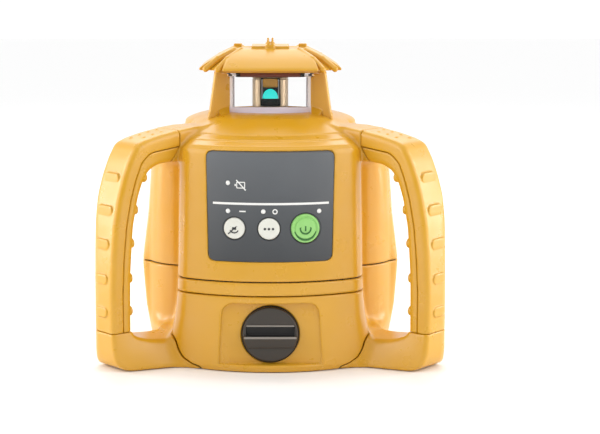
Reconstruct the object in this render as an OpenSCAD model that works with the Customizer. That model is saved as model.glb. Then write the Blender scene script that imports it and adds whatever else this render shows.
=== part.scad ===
// Rotating laser level: a yellow instrument body with two carrying handles, a
// glazed lantern under a roof, a laser rotor that spins inside the lantern, a
// motorised gimbal that levels it, a key panel and a slide-in battery holder.
// The tripod thread's mouth is the origin, the spin axis is Z and the key panel
// faces -Y.

/* [Body] */
// Radius of the round rear of the body at the housing seam
body_r = 83; // [81:0.5:85]
// Radius of the curved front face, measured from the spin axis
front_r = 95.5; // [94:0.5:97]
// Half the width of the front block at the housing seam
block_half = 56.2; // [55:0.1:57]
// Height of the seam between the lower and the upper housing
seam_z = 54.8; // [53:0.1:56]
// Thickness of the moulded walls
wall = 2.5; // [2:0.1:3]
// Thickness of the black plate under the body
base_t = 2.5; // [2:0.1:3]

/* [Handles] */
// Angle of each handle forward of the left-right line, in degrees
handle_angle = 40; // [38:1:42]
// Width of a handle across its loop
handle_w = 25.6; // [24:0.1:26]
// Half the width of the whole object over both handles
half_width = 106; // [105:0.5:108]

/* [Key panel] */
// Height of the panel's lower edge
panel_low = 67; // [65:0.5:70]
// Height of the panel's upper edge
panel_high = 132.7; // [128:0.1:133]
// Half the width of the panel at its upper edge
panel_half = 38.4; // [36:0.1:40]
// Radius of the two small keys
key_r = 6.4; // [5:0.1:7]
// Radius of the power key
power_r = 8.7; // [7.5:0.1:9]
// Height of the row of keys
key_z = 86.9; // [84:0.1:90]
// Travel of a key when it is pressed
key_travel = 0.8; // [0.4:0.1:1]

/* [Battery holder] */
// Height of the battery cover's upper edge
cover_z = 46.8; // [45:0.1:48]
// Radius of the lock knob
knob_r = 16.9; // [15:0.1:18]
// Height of the lock knob's centre
knob_z = 22.8; // [21:0.1:24]
// Diameter of one battery cell
cell_d = 26.2; // [24:0.1:26.2]
// Length of one battery cell
cell_l = 50; // [48:0.5:50]

/* [Lantern] */
// Half the width of the square of glass panes
glass_half = 26.6; // [26:0.1:27]
// Height of the lantern's floor
floor_z = 149.6; // [149.4:0.1:150]
// Height of the underside of the lantern's ceiling
ceiling_z = 173.6; // [173:0.1:174]
// Half the width of the roof over its eaves
eave_half = 44.6; // [43:0.1:46]
// Height of the roof's flat top
roof_z = 191; // [189:0.5:192]
// Height of the tips of the sights
sight_z = 197; // [195:0.5:198]

/* [Laser head] */
// Radius of the spinning head
rotor_r = 11.5; // [10:0.1:12]
// Height of the levelling pivots
gimbal_z = 108; // [107:0.5:109]
// Distance of the levelling screws' balls from the spin axis
arm_r = 40; // [39:0.5:41]
// Running clearance on the radius of a pivot or bearing
run = 0.03; // [0.02:0.01:0.06]

/* [Tripod thread] */
// Radius of the 5/8 inch thread's wall
thread_r = 6.75; // [6.5:0.05:8]
// Depth of the thread
thread_depth = 18; // [16:1:19]

/* [Hidden] */
$fn = 96;
gap = 0.3;

yellow = "#EBB04B";
charcoal = "#3A3634";
panel_grey = "#6A6E74";
metal = "#B8BABD";
big = 400;

// Radius of the curved front face at a height: the lower block is upright and
// the upper block leans back a little.
front_lean = 6.2;
lean_top = 131;
function front_at(z) = z <= seam_z ? front_r : front_r - 0.7 - (z - seam_z) * front_lean / (lean_top - seam_z);

// ---- Outlines of the body, each grown outward by g -------------------------

module rear_outline(g = 0) {
    r = body_r + g;
    polygon([
        [0, base_t - g], [r - 6.5, base_t - g], [r - 4.5, 12], [r - 2, 26], [r - 0.5, 46],
        [r, seam_z], [r - 4, 86], [r - 6, 113], [r - 7.5, 122], [r - 13, 131 + g],
        [r - 21, 137 + g], [54.6 + g, 141.6 + g], [54.6 + g, 145 + g], [42 + g, 148 + g],
        [30 + g, 149.3 + g], [0, 149.3 + g]
    ]);
}

module front_outline(g = 0) {
    polygon([
        [0, base_t - g], [front_r - 2 + g, base_t - g], [front_r + g, 6],
        [front_r + g, seam_z], [front_at(seam_z + 0.3) + g, seam_z + 0.3],
        [front_at(lean_top) + g, lean_top], [84.5 + g, 136.5 + g], [70 + g, 140.5 + g],
        [54.6 + g, 141.6 + g], [0, 141.6 + g]
    ]);
}

// Front view of the block: half-widths against height.
module block_view(g = 0) {
    right_side = [
        [block_half + 2 + g, base_t - g], [block_half + 4.5 + g, 10], [block_half + 4.5 + g, 19],
        [block_half + 1.7 + g, 32], [block_half + 0.4 + g, 45], [block_half + g, seam_z],
        [block_half - 1.2 + g, 121], [block_half - 1.8 + g, 132], [46 + g, 141.6 + g]
    ];
    left_side = [for (i = [len(right_side) - 1:-1:0]) [-right_side[i].x, right_side[i].y]];
    polygon(concat(right_side, left_side));
}

// Hollow for the fingers on both sides of the block, behind its edges.
module finger_notches(g = 0) {
    low = 16 - g;
    high = 123 + g;
    for (side = [0, 1])
        mirror([side, 0, 0])
            translate([0, 0, low])
                linear_extrude(high - low)
                    polygon([
                        [52 - g, -110], [52 - g, -37 + g], [61 - g, -35 + g],
                        [68 - g, -30.5 + g], [74 - g, -24 + g], [78 - g, -16 + g],
                        [110, -16 + g], [110, -110]
                    ]);
}

// The whole body, round at the rear and square-shouldered at the front.
module body_solid(g = 0, front_g = 0) {
    difference() {
        rotate_extrude() rear_outline(g);
        finger_notches(-g);
    }
    intersection() {
        rotate_extrude() front_outline(front_g);
        rotate([90, 0, 0])
            linear_extrude(big)
                block_view(g);
    }
}

module slab(low, high) {
    translate([-big / 2, -big / 2, low]) cube([big, big, high - low]);
}

// Places a child on a handle's plane: its x is the distance from the spin axis,
// its y is height, and it is extruded evenly about the plane.
module on_handle(side, width) {
    mirror([side > 0 ? 0 : 1, 0, 0])
        rotate([0, 0, -handle_angle])
            rotate([90, 0, 0])
                translate([0, 0, -width / 2])
                    linear_extrude(width)
                        children();
}

// Places a child on a radius through the front face, its axis along the radius
// and its origin at the given distance from the spin axis.
module on_front(x, z, r) {
    translate([0, 0, z])
        rotate([0, 0, asin(x / front_at(z))])
            translate([0, -r, 0])
                rotate([-90, 0, 0])
                    children();
}

// ---- Base ------------------------------------------------------------------

base_screw_spots = [[-30, 52], [30, 52], [-66, -4], [66, -4], [-26, -14], [26, -14]];
housing_screw_spots = [[-52, 44], [52, 44], [-60, 17], [60, 17]];
flange_r = 15;
flange_t = 1.6;
insert_r = 11;
boss_r = 17.5;
boss_top = 24;

module base_plan(low, high, g) {
    translate([0, 0, low])
        linear_extrude(high - low) {
            difference() {
                circle(body_r - 6.5 + g);
                for (side = [-1, 1])
                    translate([side * 100, -66]) square([84, 100], center = true);
            }
            intersection() {
                circle(front_r - 2 + g);
                translate([-block_half - 2 - g, -big]) square([2 * (block_half + 2 + g), big]);
            }
        }
}

module base_plate() {
    color("#1E1D1C")
        difference() {
            base_plan(0, base_t, -1.2);
            translate([0, 0, -1]) cylinder(r = insert_r, h = base_t + 2);
            translate([0, 0, -0.01]) cylinder(r = flange_r, h = flange_t + 0.01);
            for (spot = base_screw_spots)
                translate([spot.x, spot.y, -1]) cylinder(r = 1.5, h = base_t + 2);
            for (spot = base_screw_spots)
                translate([spot.x, spot.y, -0.01]) cylinder(r = 3, h = 1.41);
            for (spot = housing_screw_spots)
                translate([spot.x, spot.y, -1]) cylinder(r = 3.6, h = base_t + 2);
        }
}

module base_screws() {
    color(metal)
        for (spot = base_screw_spots)
            translate([spot.x, spot.y, 0]) {
                difference() {
                    translate([0, 0, 0.2]) cylinder(r = 2.9, h = 1.2);
                    translate([0, 0, 0.1]) cylinder(r = 1, h = 0.8);
                }
                translate([0, 0, 1.4]) cylinder(r = 1.5, h = 4.6);
            }
}

module tripod_insert() {
    color("#B59A57")
        difference() {
            union() {
                cylinder(r = flange_r, h = flange_t);
                cylinder(r = insert_r, h = thread_depth + 2.5);
            }
            translate([0, 0, -1]) cylinder(r = thread_r, h = thread_depth + 1);
        }
}

// ---- Lower and upper housing -----------------------------------------------

bay_half = 54;
bay_low = 3.2;
bay_rear = -19.5;
bay_top = 46;
cover_back = -70;

foot_profile = [
    [60, 2.5], [91, 2.5], [93.5, 0.6], [125, 0.6], [130, 3.4], [132.6, 11], [133, 23.3], [118.8, 23.3],
    [117, 20], [108, 17.5], [92, 16], [60, 16]
];
foot_core = [
    [70, 5], [121, 5], [127, 7.6], [130, 14], [130.4, 20.8], [121.4, 20.8],
    [119, 17.6], [109, 15], [92, 13.5], [70, 13.5]
];

module inside_width() {
    intersection() {
        children();
        translate([-half_width, -big / 2, -big / 2]) cube([2 * half_width, big, big]);
    }
}

module lower_shell() {
    intersection() {
        difference() {
            body_solid();
            intersection() {
                body_solid(-wall, -wall);
                slab(base_t + wall, big);
            }
        }
        slab(base_t, seam_z);
    }
}

module bay_walls() {
    intersection() {
        body_solid();
        translate([-bay_half - 2, -big / 2, base_t])
            cube([2 * (bay_half + 2), big / 2 + bay_rear + 2, bay_top + 2 - base_t]);
    }
}

module lower_housing() {
    color(yellow)
        difference() {
            union() {
                lower_shell();
                bay_walls();
                inside_width()
                    for (side = [-1, 1])
                        difference() {
                            on_handle(side, handle_w) polygon(foot_profile);
                            on_handle(side, handle_w - 5) polygon(foot_core);
                            intersection() {
                                body_solid(-wall, -wall);
                                slab(base_t + wall, big);
                            }
                        }
                translate([0, 0, base_t]) cylinder(r = boss_r, h = boss_top - base_t);
                for (spot = housing_screw_spots)
                    translate([spot.x, spot.y, base_t]) cylinder(r = 4.2, h = seam_z - base_t);
                for (spot = base_screw_spots)
                    translate([spot.x, spot.y, base_t]) cylinder(r = 3.4, h = 6);
                for (x = [-36, 36], y = [-66, -28])
                    translate([x, y, bay_top]) cylinder(r = 2.5, h = 5);
            }
            translate([-bay_half, -big / 2, bay_low])
                cube([2 * bay_half, big / 2 + bay_rear, bay_top - bay_low]);
            translate([-62, -big / 2, 0]) cube([124, big / 2 + cover_back, cover_z]);
            translate([0, 0, -1]) cylinder(r = insert_r, h = thread_depth + 3.5);
            for (spot = housing_screw_spots) {
                translate([spot.x, spot.y, -1]) cylinder(r = 1.6, h = big);
                translate([spot.x, spot.y, -1]) cylinder(r = 3.3, h = 9);
            }
            for (spot = base_screw_spots)
                translate([spot.x, spot.y, -1]) cylinder(r = 1.5, h = 7.05);
        }
}

module housing_seal() {
    color("#2A2A2A")
        intersection() {
            difference() {
                body_solid(-0.9, -0.9);
                body_solid(-1.9, -1.9);
            }
            slab(seam_z, seam_z + gap);
        }
}

panel_recess = 1.6;
opening_r = 36;
ledge_z = 146.2;
boss_spots = [[-42, -42], [42, -42], [-42, 42], [42, 42]];
chassis_top = gimbal_z;
board_front = -75.2;
keys = [[-21.5, key_r], [-0.8, key_r], [21, power_r]];
lamps = [[-25.4, 113.7], [-25.4, 97.1], [-4.2, 97.1], [29.3, 96.9]];
lamp_r = 1.5;

// Trapezoid of the key panel with rounded corners, grown by g.
module panel_view(g = 0) {
    r = 4.5;
    low_half = panel_half - 1.25;
    for (corner = [
        [-low_half + r, panel_low + r], [low_half - r, panel_low + r],
        [-panel_half + r, panel_high - r], [panel_half - r, panel_high - r]
    ])
        translate(corner) circle(r + g);
    polygon([
        [-low_half + r, panel_low - g], [low_half - r, panel_low - g],
        [low_half + g, panel_low + r], [panel_half + g, panel_high - r],
        [panel_half - r, panel_high + g], [-panel_half + r, panel_high + g],
        [-panel_half - g, panel_high - r], [-low_half - g, panel_low + r]
    ]);
}

module panel_prism(g = 0) {
    rotate([90, 0, 0]) linear_extrude(big) panel_view(g);
}

module key_holes(extra) {
    for (key = keys)
        on_front(key.x, key_z, front_r + 5) cylinder(r = key[1] + extra, h = 24);
}

module upper_shell() {
    intersection() {
        difference() {
            body_solid();
            body_solid(-wall, -4.4);
        }
        slab(seam_z + gap, big);
    }
}

arm_root = [[58, 123.8], [82.1, 123.8], [82.1, 143.1], [70, 144.2], [52, 144.6]];

module upper_housing() {
    color(yellow)
        difference() {
            union() {
                upper_shell();
                for (side = [-1, 1])
                    difference() {
                        on_handle(side, handle_w) polygon(arm_root);
                        body_solid(-wall, -4.4);
                    }
                translate([0, 0, 143.4]) cylinder(r = 39, h = 5);
                for (spot = boss_spots)
                    translate([spot.x, spot.y, chassis_top])
                        cylinder(r = 3.6, h = (spot.y > 0 ? 135.6 : 138.5) - chassis_top);
                for (spot = housing_screw_spots) {
                    translate([spot.x, spot.y, seam_z + gap]) cylinder(r = 4.2, h = 18);
                    rotate([0, 0, atan2(spot.y, spot.x)])
                        translate([norm(spot), -1.2, seam_z + gap + 1])
                            cube([body_r - 3.2 - norm(spot), 2.4, 15]);
                }
                for (x = [-27, 27], z = [78, 109])
                    translate([x, board_front, z])
                        rotate([90, 0, 0]) cylinder(r = 2.2, h = 9.5);
            }
            translate([0, 0, ledge_z]) cylinder(r = opening_r, h = 10);
            translate([0, 0, 100]) cylinder(r = 31, h = 60);
            difference() {
                panel_prism();
                rotate_extrude() front_outline(-panel_recess);
            }
            key_holes(gap);
            for (lamp = lamps)
                on_front(lamp.x, lamp.y, front_r + 5) cylinder(r = lamp_r, h = 20);
            for (spot = boss_spots)
                translate([spot.x, spot.y, chassis_top - 1]) cylinder(r = 1.25, h = 13);
            for (spot = housing_screw_spots)
                translate([spot.x, spot.y, seam_z - 1]) cylinder(r = 1.6, h = 15);
        }
}

module housing_screws() {
    color(metal)
        for (spot = housing_screw_spots)
            translate([spot.x, spot.y, 4.8]) {
                difference() {
                    cylinder(r = 3.1, h = 3.2);
                    translate([0, 0, -0.1]) cylinder(r = 1.4, h = 2, $fn = 6);
                }
                translate([0, 0, 3.2]) cylinder(r = 1.6, h = 58);
            }
}

// ---- Handle grips ----------------------------------------------------------

grip_parting = [
    [125.2, 23.6], [125.2, 49], [124, 68.8], [121.9, 88], [118.7, 103],
    [114.9, 115], [110.5, 125], [104, 130.4], [82.4, 133]
];
grip_back = [
    [82.4, 143], [96, 140.8], [107, 138.2], [113.6, 135.5], [118.6, 127.1],
    [122.9, 117.1], [126.7, 104.9], [129.8, 89.8], [131.8, 69.4], [133, 49], [133, 23.6]
];
grip_front = [
    [82.4, 124.1], [97.2, 123], [104.2, 119.8], [108.6, 113.9], [112.4, 103.8],
    [116.1, 86.5], [118.4, 57.7], [118.8, 30], [118.8, 23.6]
];
grip_core = [
    [86.5, 139.5], [104.5, 136], [111.8, 132.8], [116.3, 125.6], [120.5, 116],
    [124.2, 104.2], [127.3, 89.3], [129.3, 69], [130.5, 49], [130.5, 26.5],
    [121.3, 26.5], [120.9, 57.9], [118.6, 87], [114.8, 104.5], [110.8, 115],
    [105.5, 122], [97.6, 125.7], [86.5, 126.6]
];
rib_heights = [36, 56, 77, 97, 116];
rib_w = 14.4;

// Distance of the handle's back or front face from the axis at a height.
function face_at(line, z) = lookup(z, [for (p = line) [p.y, p.x]]);

module grip_outer(side) {
    color(yellow)
        inside_width()
            difference() {
                union() {
                    on_handle(side, handle_w) polygon(concat(grip_back, grip_parting));
                    on_handle(side, rib_w)
                        for (z = rib_heights)
                            translate([face_at(grip_back, z) - 2.8, z]) circle(3.6);
                }
                on_handle(side, handle_w - 5) polygon(grip_core);
            }
}

module grip_inner(side) {
    reversed = [for (i = [len(grip_parting) - 1:-1:0]) grip_parting[i]];
    color(yellow)
        inside_width()
            difference() {
                union() {
                    on_handle(side, handle_w)
                        polygon(concat([for (i = [len(grip_front) - 1:-1:0]) grip_front[i]], reversed));
                    on_handle(side, rib_w)
                        for (z = rib_heights)
                            translate([face_at(grip_front, z) + 2.8, z]) circle(3.6);
                }
                on_handle(side, handle_w - 5) polygon(grip_core);
            }
}

module left_grip_outer() { grip_outer(-1); }
module left_grip_inner() { grip_inner(-1); }
module right_grip_outer() { grip_outer(1); }
module right_grip_inner() { grip_inner(1); }

// ---- Lantern and roof ------------------------------------------------------

post = 3.4;
pane_t = 2;
plate_t = 2;
fin_t = 2.4;
fin_profile = [
    [37, floor_z], [37, 149.2], [42, 148.4], [54.2, 145.6], [54.4, 150], [53, 152.4],
    [48.2, 177], [43.8, 177], [43.8, 175.4],
    [38.9, 175.4], [38.9, 173.4], [36, 173.4], [36, floor_z]
];

module lantern_frame() {
    color("#F3DFAE")
        difference() {
            union() {
                translate([0, 0, floor_z - 3.1]) cylinder(r = opening_r - 0.2, h = 3.1);
                for (turn = [0:90:270])
                    rotate([0, 0, turn]) {
                        translate([glass_half - 3, glass_half - 3, floor_z])
                            cube([post, post, ceiling_z - floor_z]);
                        rotate([0, 0, 45])
                            rotate([90, 0, 0])
                                translate([0, 0, -fin_t / 2])
                                    linear_extrude(fin_t) polygon(fin_profile);
                    }
            }
            translate([0, 0, 140]) cylinder(r = 18, h = 20);
        }
}

module lantern_seal() {
    color("#2A2A2A")
        translate([0, 0, ledge_z])
            difference() {
                cylinder(r = 35, h = floor_z - 3.1 - ledge_z);
                translate([0, 0, -1]) cylinder(r = 32.5, h = 5);
            }
}

module glass_pane(turn) {
    half = glass_half - 3.1;
    color("#DDE6F5", 0.4)
        rotate([0, 0, turn])
            translate([-half, -glass_half + 0.3, floor_z])
                cube([2 * half, pane_t, ceiling_z - floor_z]);
}

module front_glass() { glass_pane(0); }
module right_glass() { glass_pane(90); }
module rear_glass() { glass_pane(180); }
module left_glass() { glass_pane(270); }

ceiling_screw_spots = [[-20, -20], [20, -20], [-20, 20], [20, 20]];

module ceiling_plate() {
    half = glass_half + 0.6;
    color("#2B2522")
        difference() {
            translate([-half, -half, ceiling_z]) cube([2 * half, 2 * half, plate_t]);
            for (spot = ceiling_screw_spots)
                translate([spot.x, spot.y, ceiling_z - 1]) cylinder(r = 1.2, h = 5);
            for (spot = ceiling_screw_spots)
                translate([spot.x, spot.y, ceiling_z - 1]) cylinder(r = 2.3, h = 2);
        }
}

module ceiling_screws() {
    color(metal)
        for (spot = ceiling_screw_spots)
            translate([spot.x, spot.y, ceiling_z]) {
                translate([0, 0, 0.2]) cylinder(r = 2.2, h = 0.8);
                cylinder(r = 1.2, h = 8);
            }
}

eave_z = 177.3;
under_z = 175.7;
top_half = 21;
plug_half = 30.5;
panel_w = 60;
slab_w = 52;

module roof_panel() {
    hull() {
        translate([-panel_w / 2, -eave_half, eave_z]) cube([panel_w, 2, 1.5]);
        translate([-28.5, -38, 182.3]) cube([57, 1, 1.2]);
        translate([-26, -31.5, 186]) cube([52, 1, 1.2]);
        translate([-20, -30, eave_z]) cube([40, 2, 1]);
        translate([-20, -23, roof_z - 1.2]) cube([40, 4, 0.8]);
    }
}

module sight_ear(width, depth, tip) {
    translate([-width / 2, -23.3, roof_z - 1.5]) cube([width, depth, tip - roof_z + 1.5]);
}

module top_cap() {
    color(yellow)
        difference() {
            union() {
                hull() {
                    for (turn = [0, 90])
                        rotate([0, 0, turn])
                            translate([-slab_w / 2, -eave_half + 1.6, eave_z])
                                cube([slab_w, 2 * eave_half - 3.2, 1.2]);
                    translate([-top_half, -top_half, roof_z - 2]) cube([2 * top_half, 2 * top_half, 1]);
                }
                translate([-plug_half, -plug_half, under_z])
                    cube([2 * plug_half, 2 * plug_half, eave_z - under_z + 2]);
                for (turn = [0:90:270])
                    rotate([0, 0, turn]) roof_panel();
                for (turn = [0, 180])
                    rotate([0, 0, turn])
                        for (x = [-1.9, 1.9])
                            translate([x, 0, 0]) sight_ear(2.4, 3.6, sight_z);
                for (turn = [90, 270])
                    rotate([0, 0, turn]) sight_ear(5.6, 5.2, roof_z + 2);
            }
            hull() {
                translate([-plug_half + 3, -plug_half + 3, under_z - 3])
                    cube([2 * (plug_half - 3), 2 * (plug_half - 3), 4.5]);
                translate([-18, -18, roof_z - 5]) cube([36, 36, 1.5]);
            }
        }
    color(yellow)
        for (spot = ceiling_screw_spots)
            translate([spot.x, spot.y, under_z])
                difference() {
                    cylinder(r = 3, h = 8.5);
                    translate([0, 0, -0.1]) cylinder(r = 1.2, h = 6.1);
                }
}

// ---- Key panel -------------------------------------------------------------

panel_t = 1.1;

module control_panel() {
    color(panel_grey)
        difference() {
            intersection() {
                panel_prism(-0.25);
                difference() {
                    rotate_extrude() front_outline(-panel_recess + panel_t);
                    rotate_extrude() front_outline(-panel_recess);
                }
            }
            key_holes(gap);
            for (lamp = lamps)
                on_front(lamp.x, lamp.y, front_r + 5) cylinder(r = lamp_r, h = 20);
        }
}

module indicator_lenses() {
    color("#E8E6DA")
        for (lamp = lamps)
            on_front(lamp.x, lamp.y, front_at(lamp.y) - panel_recess + panel_t)
                cylinder(r = lamp_r, h = 6);
}

stem_end = 80.4;

module key(x, r) {
    face = front_at(key_z) + 0.1;
    on_front(x, key_z, face) cylinder(r = r, h = 4);
    on_front(x, key_z, face - 4) cylinder(r = 3, h = face - 4 - stem_end);
}

module mode_button() { color("#E4E4DC") key(keys[0].x, keys[0][1]); }
module manual_button() { color("#E4E4DC") key(keys[1].x, keys[1][1]); }
module power_button() { color("#7FBF5F") key(keys[2].x, keys[2][1]); }

module key_board() {
    color("#2F6B3F")
        difference() {
            translate([-31, board_front, 74]) cube([62, 1.6, 43]);
            for (x = [-27, 27], z = [78, 109])
                translate([x, board_front - 1, z]) rotate([-90, 0, 0]) cylinder(r = 1.2, h = 5);
        }
}

module key_switches() {
    color("#C9C9C9")
        difference() {
            for (key = keys)
                on_front(key.x, key_z, stem_end - key_travel - 0.2) cylinder(r = 3, h = 9);
            translate([-40, board_front, 60]) cube([80, 40, 60]);
        }
}

// ---- Battery holder --------------------------------------------------------

recess_y = -89.2;
cover_low = base_t + gap;
cover_high = cover_z - gap;
cover_inner = -86.4;
shaft_r = 4;

module recess_view() {
    r = 5;
    for (side = [-1, 1])
        translate([side * (28.7 - r), 42.4 - r]) circle(r);
    polygon([
        [-31, -10], [31, -10], [31, 5], [28.7, 42.4 - r], [28.7 - r, 42.4],
        [-28.7 + r, 42.4], [-28.7, 42.4 - r], [-31, 5]
    ]);
}

module battery_cover() {
    color(yellow)
        difference() {
            intersection() {
                body_solid(0);
                translate([-70, -120, cover_low]) cube([140, 120 + cover_back - gap, cover_high - cover_low]);
            }
            intersection() {
                rotate_extrude() front_outline(-3);
                translate([-bay_half + 1, cover_inner, cover_low + 2.5])
                    cube([2 * (bay_half - 1), 40, cover_high - cover_low - 5]);
            }
            translate([0, recess_y, 0])
                rotate([90, 0, 0]) linear_extrude(20) recess_view();
            translate([0, 0, knob_z])
                rotate([90, 0, 0]) cylinder(r = shaft_r + 0.1, h = 120);
        }
}

module cover_gasket() {
    color("#2A2A2A")
        difference() {
            translate([-bay_half + 1.1, cover_back - 2.4, cover_low + 2.8])
                cube([2 * (bay_half - 1.1), 2, cover_high - cover_low - 5.4]);
            translate([-tray_half - 0.15, cover_back - 3, tray_low - 0.15])
                cube([2 * (tray_half + 0.15), 4, 36]);
        }
}

tray_half = 52;
tray_low = 6.5;
tray_high = 38;
tray_front = -79;
tray_rear = -21;
cell_z = 22.5;
cell_rows = [-63.6, -36.2];
cell_gap = 0.4;

module tray_pocket(y) {
    translate([-cell_l - cell_gap / 2 - 1.2, y - cell_d / 2 - cell_gap, cell_z - cell_d / 2 - cell_gap])
        cube([2 * cell_l + cell_gap + 2.4, cell_d + 2 * cell_gap, 40]);
}

module battery_tray() {
    color("#2C2C2E")
        difference() {
            union() {
                intersection() {
                    translate([-tray_half, tray_front, tray_low])
                        cube([2 * tray_half, tray_rear - tray_front, tray_high - tray_low]);
                    rotate_extrude() front_outline(-3.4);
                }
                for (x = [-26, 26])
                    translate([x - 4, cover_inner + 0.02, tray_low + 4])
                        cube([8, tray_front - cover_inner, 10]);
            }
            for (y = cell_rows)
                tray_pocket(y);
            translate([-20, tray_front - 1, -1]) cube([40, 3, 60]);
        }
}

module battery_cells() {
    color("#3F6E8C")
        for (y = cell_rows, side = [-1, 1])
            translate([side > 0 ? 0.1 : -0.1, y, cell_z])
                rotate([0, side * 90, 0]) {
                    cylinder(r = cell_d / 2, h = cell_l - 1.6);
                    cylinder(r = 4.5, h = cell_l - 0.1);
                }
}

module battery_contacts() {
    color("#C8B27A")
        for (y = cell_rows, side = [-1, 1])
            translate([side * (cell_l + cell_gap / 2 + 0.4) - 0.25, y - 7, cell_z - 7])
                cube([0.5, 14, 14]);
}

module bay_contacts() {
    color("#C8B27A")
        for (x = [-20, 20])
            translate([x - 4, bay_rear - 1, 16]) cube([8, 1, 12]);
}

module lock_knob() {
    color(charcoal)
        translate([0, 0, knob_z])
            rotate([90, 0, 0])
                translate([0, 0, -recess_y + gap]) {
                    cylinder(r = knob_r, h = 2.2);
                    intersection() {
                        cylinder(r = knob_r - 1, h = 6);
                        translate([-knob_r, -3.4, 0]) cube([2 * knob_r, 6.8, 6]);
                    }
                }
}

module knob_shaft() {
    color(metal)
        translate([0, 0, knob_z])
            rotate([90, 0, 0]) {
                translate([0, 0, 83]) cylinder(r = shaft_r, h = -recess_y + gap - 83);
                translate([-13, -4, 83]) cube([26, 8, 3]);
            }
}

module knob_seal() {
    color("#2A2A2A")
        translate([0, 0, knob_z])
            rotate([90, 0, 0])
                translate([0, 0, -recess_y])
                    difference() {
                        cylinder(r = 9, h = 0.2);
                        translate([0, 0, -1]) cylinder(r = 7.5, h = 3);
                    }
}

module main_board() {
    color("#2F6B3F")
        translate([0, 0, bay_top + 5])
            difference() {
                union() {
                    translate([-40, -70, 0]) cube([80, 46, 1.6]);
                    translate([-18, -58, 1.6]) cube([14, 14, 1.8]);
                    translate([8, -62, 1.6]) cube([10, 20, 2.4]);
                    translate([26, -50, 1.6]) cylinder(r = 4, h = 3.5);
                }
                for (x = [-36, 36], y = [-66, -28])
                    translate([x, y, -1]) cylinder(r = 1.2, h = 5);
            }
}

// ---- Levelled laser unit ---------------------------------------------------

chassis_r = 62;
chassis_hole = 35;
chassis_t = 4;
ring_in = 24;
ring_out = 31;
ring_half = 4;
pin_r = 2;
drop = 14;
screw_at = arm_r + 10;
guide_at = screw_at + 8;
arm_z = gimbal_z - drop;
ball_r = 2.2;
motor_low = 62;
motor_high = 83;

// Turns a child from the +X side, which tilts the unit about Y, to the side
// that tilts it about X.
module on_arm(axis_name) {
    rotate([0, 0, axis_name == "x" ? 90 : 0]) children();
}

module chassis() {
    color(metal)
        difference() {
            union() {
                translate([0, 0, chassis_top - chassis_t]) cylinder(r = chassis_r, h = chassis_t);
                for (side = [-1, 1])
                    translate([side * 37.5 - 4.5, -5, gimbal_z - 4]) cube([9, 10, 9]);
                for (axis_name = ["x", "y"])
                    on_arm(axis_name) {
                        translate([guide_at + 4, -9, 60]) cube([2, 18, chassis_top - chassis_t - 60]);
                        translate([guide_at + 1.5, -9, chassis_top - chassis_t]) cube([4.5, 18, chassis_t]);
                        translate([screw_at - 8, -9, 60]) cube([22, 18, 2]);
                        translate([guide_at, 0, 85]) cylinder(r = 1.5, h = chassis_top - 86);
                    }
            }
            difference() {
                translate([0, 0, 100]) cylinder(r = chassis_hole, h = 6);
                for (side = [-1, 1])
                    translate([side * 37.5 - 4.5, -5, gimbal_z - 4]) cube([9, 10, 9]);
            }
            difference() {
                translate([0, 0, 105]) cylinder(r = chassis_hole, h = 10);
                for (side = [-1, 1])
                    translate([side * 37.5 - 4.5, -5, gimbal_z - 4]) cube([9, 10, 9]);
            }
            translate([-60, 0, gimbal_z])
                rotate([0, 90, 0]) cylinder(r = pin_r, h = 120);
            for (spot = boss_spots)
                translate([spot.x, spot.y, 90]) cylinder(r = 1.6, h = 30);
        }
}

module chassis_screws() {
    color(metal)
        for (spot = boss_spots)
            translate([spot.x, spot.y, chassis_top - chassis_t]) {
                translate([0, 0, -2]) cylinder(r = 2.8, h = 2);
                translate([0, 0, -0.1]) cylinder(r = 1.25, h = 15);
            }
}

module outer_pivot_pins() {
    color(metal)
        for (side = [-1, 1])
            translate([side > 0 ? 28 : -42, 0, gimbal_z])
                rotate([0, 90, 0]) cylinder(r = pin_r, h = 14);
}

module inner_pivot_pins() {
    color(metal)
        for (side = [-1, 1])
            translate([0, side > 0 ? 18 : -28, gimbal_z])
                rotate([-90, 0, 0]) cylinder(r = pin_r, h = 10);
}

module gimbal_ring() {
    color(metal)
        difference() {
            translate([0, 0, gimbal_z - ring_half]) cylinder(r = ring_out, h = 2 * ring_half);
            translate([0, 0, gimbal_z - 10]) cylinder(r = ring_in, h = 20);
            translate([-60, 0, gimbal_z])
                rotate([0, 90, 0]) cylinder(r = pin_r + run, h = 120);
            translate([0, -60, gimbal_z])
                rotate([-90, 0, 0]) cylinder(r = pin_r + run, h = 120);
        }
}

tube_r = 15.5;
bearing_r = 11;
spindle_r = 8;
motor_at = 28;
motor_r = 8.5;
shelf_z = gimbal_z + 17.2;

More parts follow.
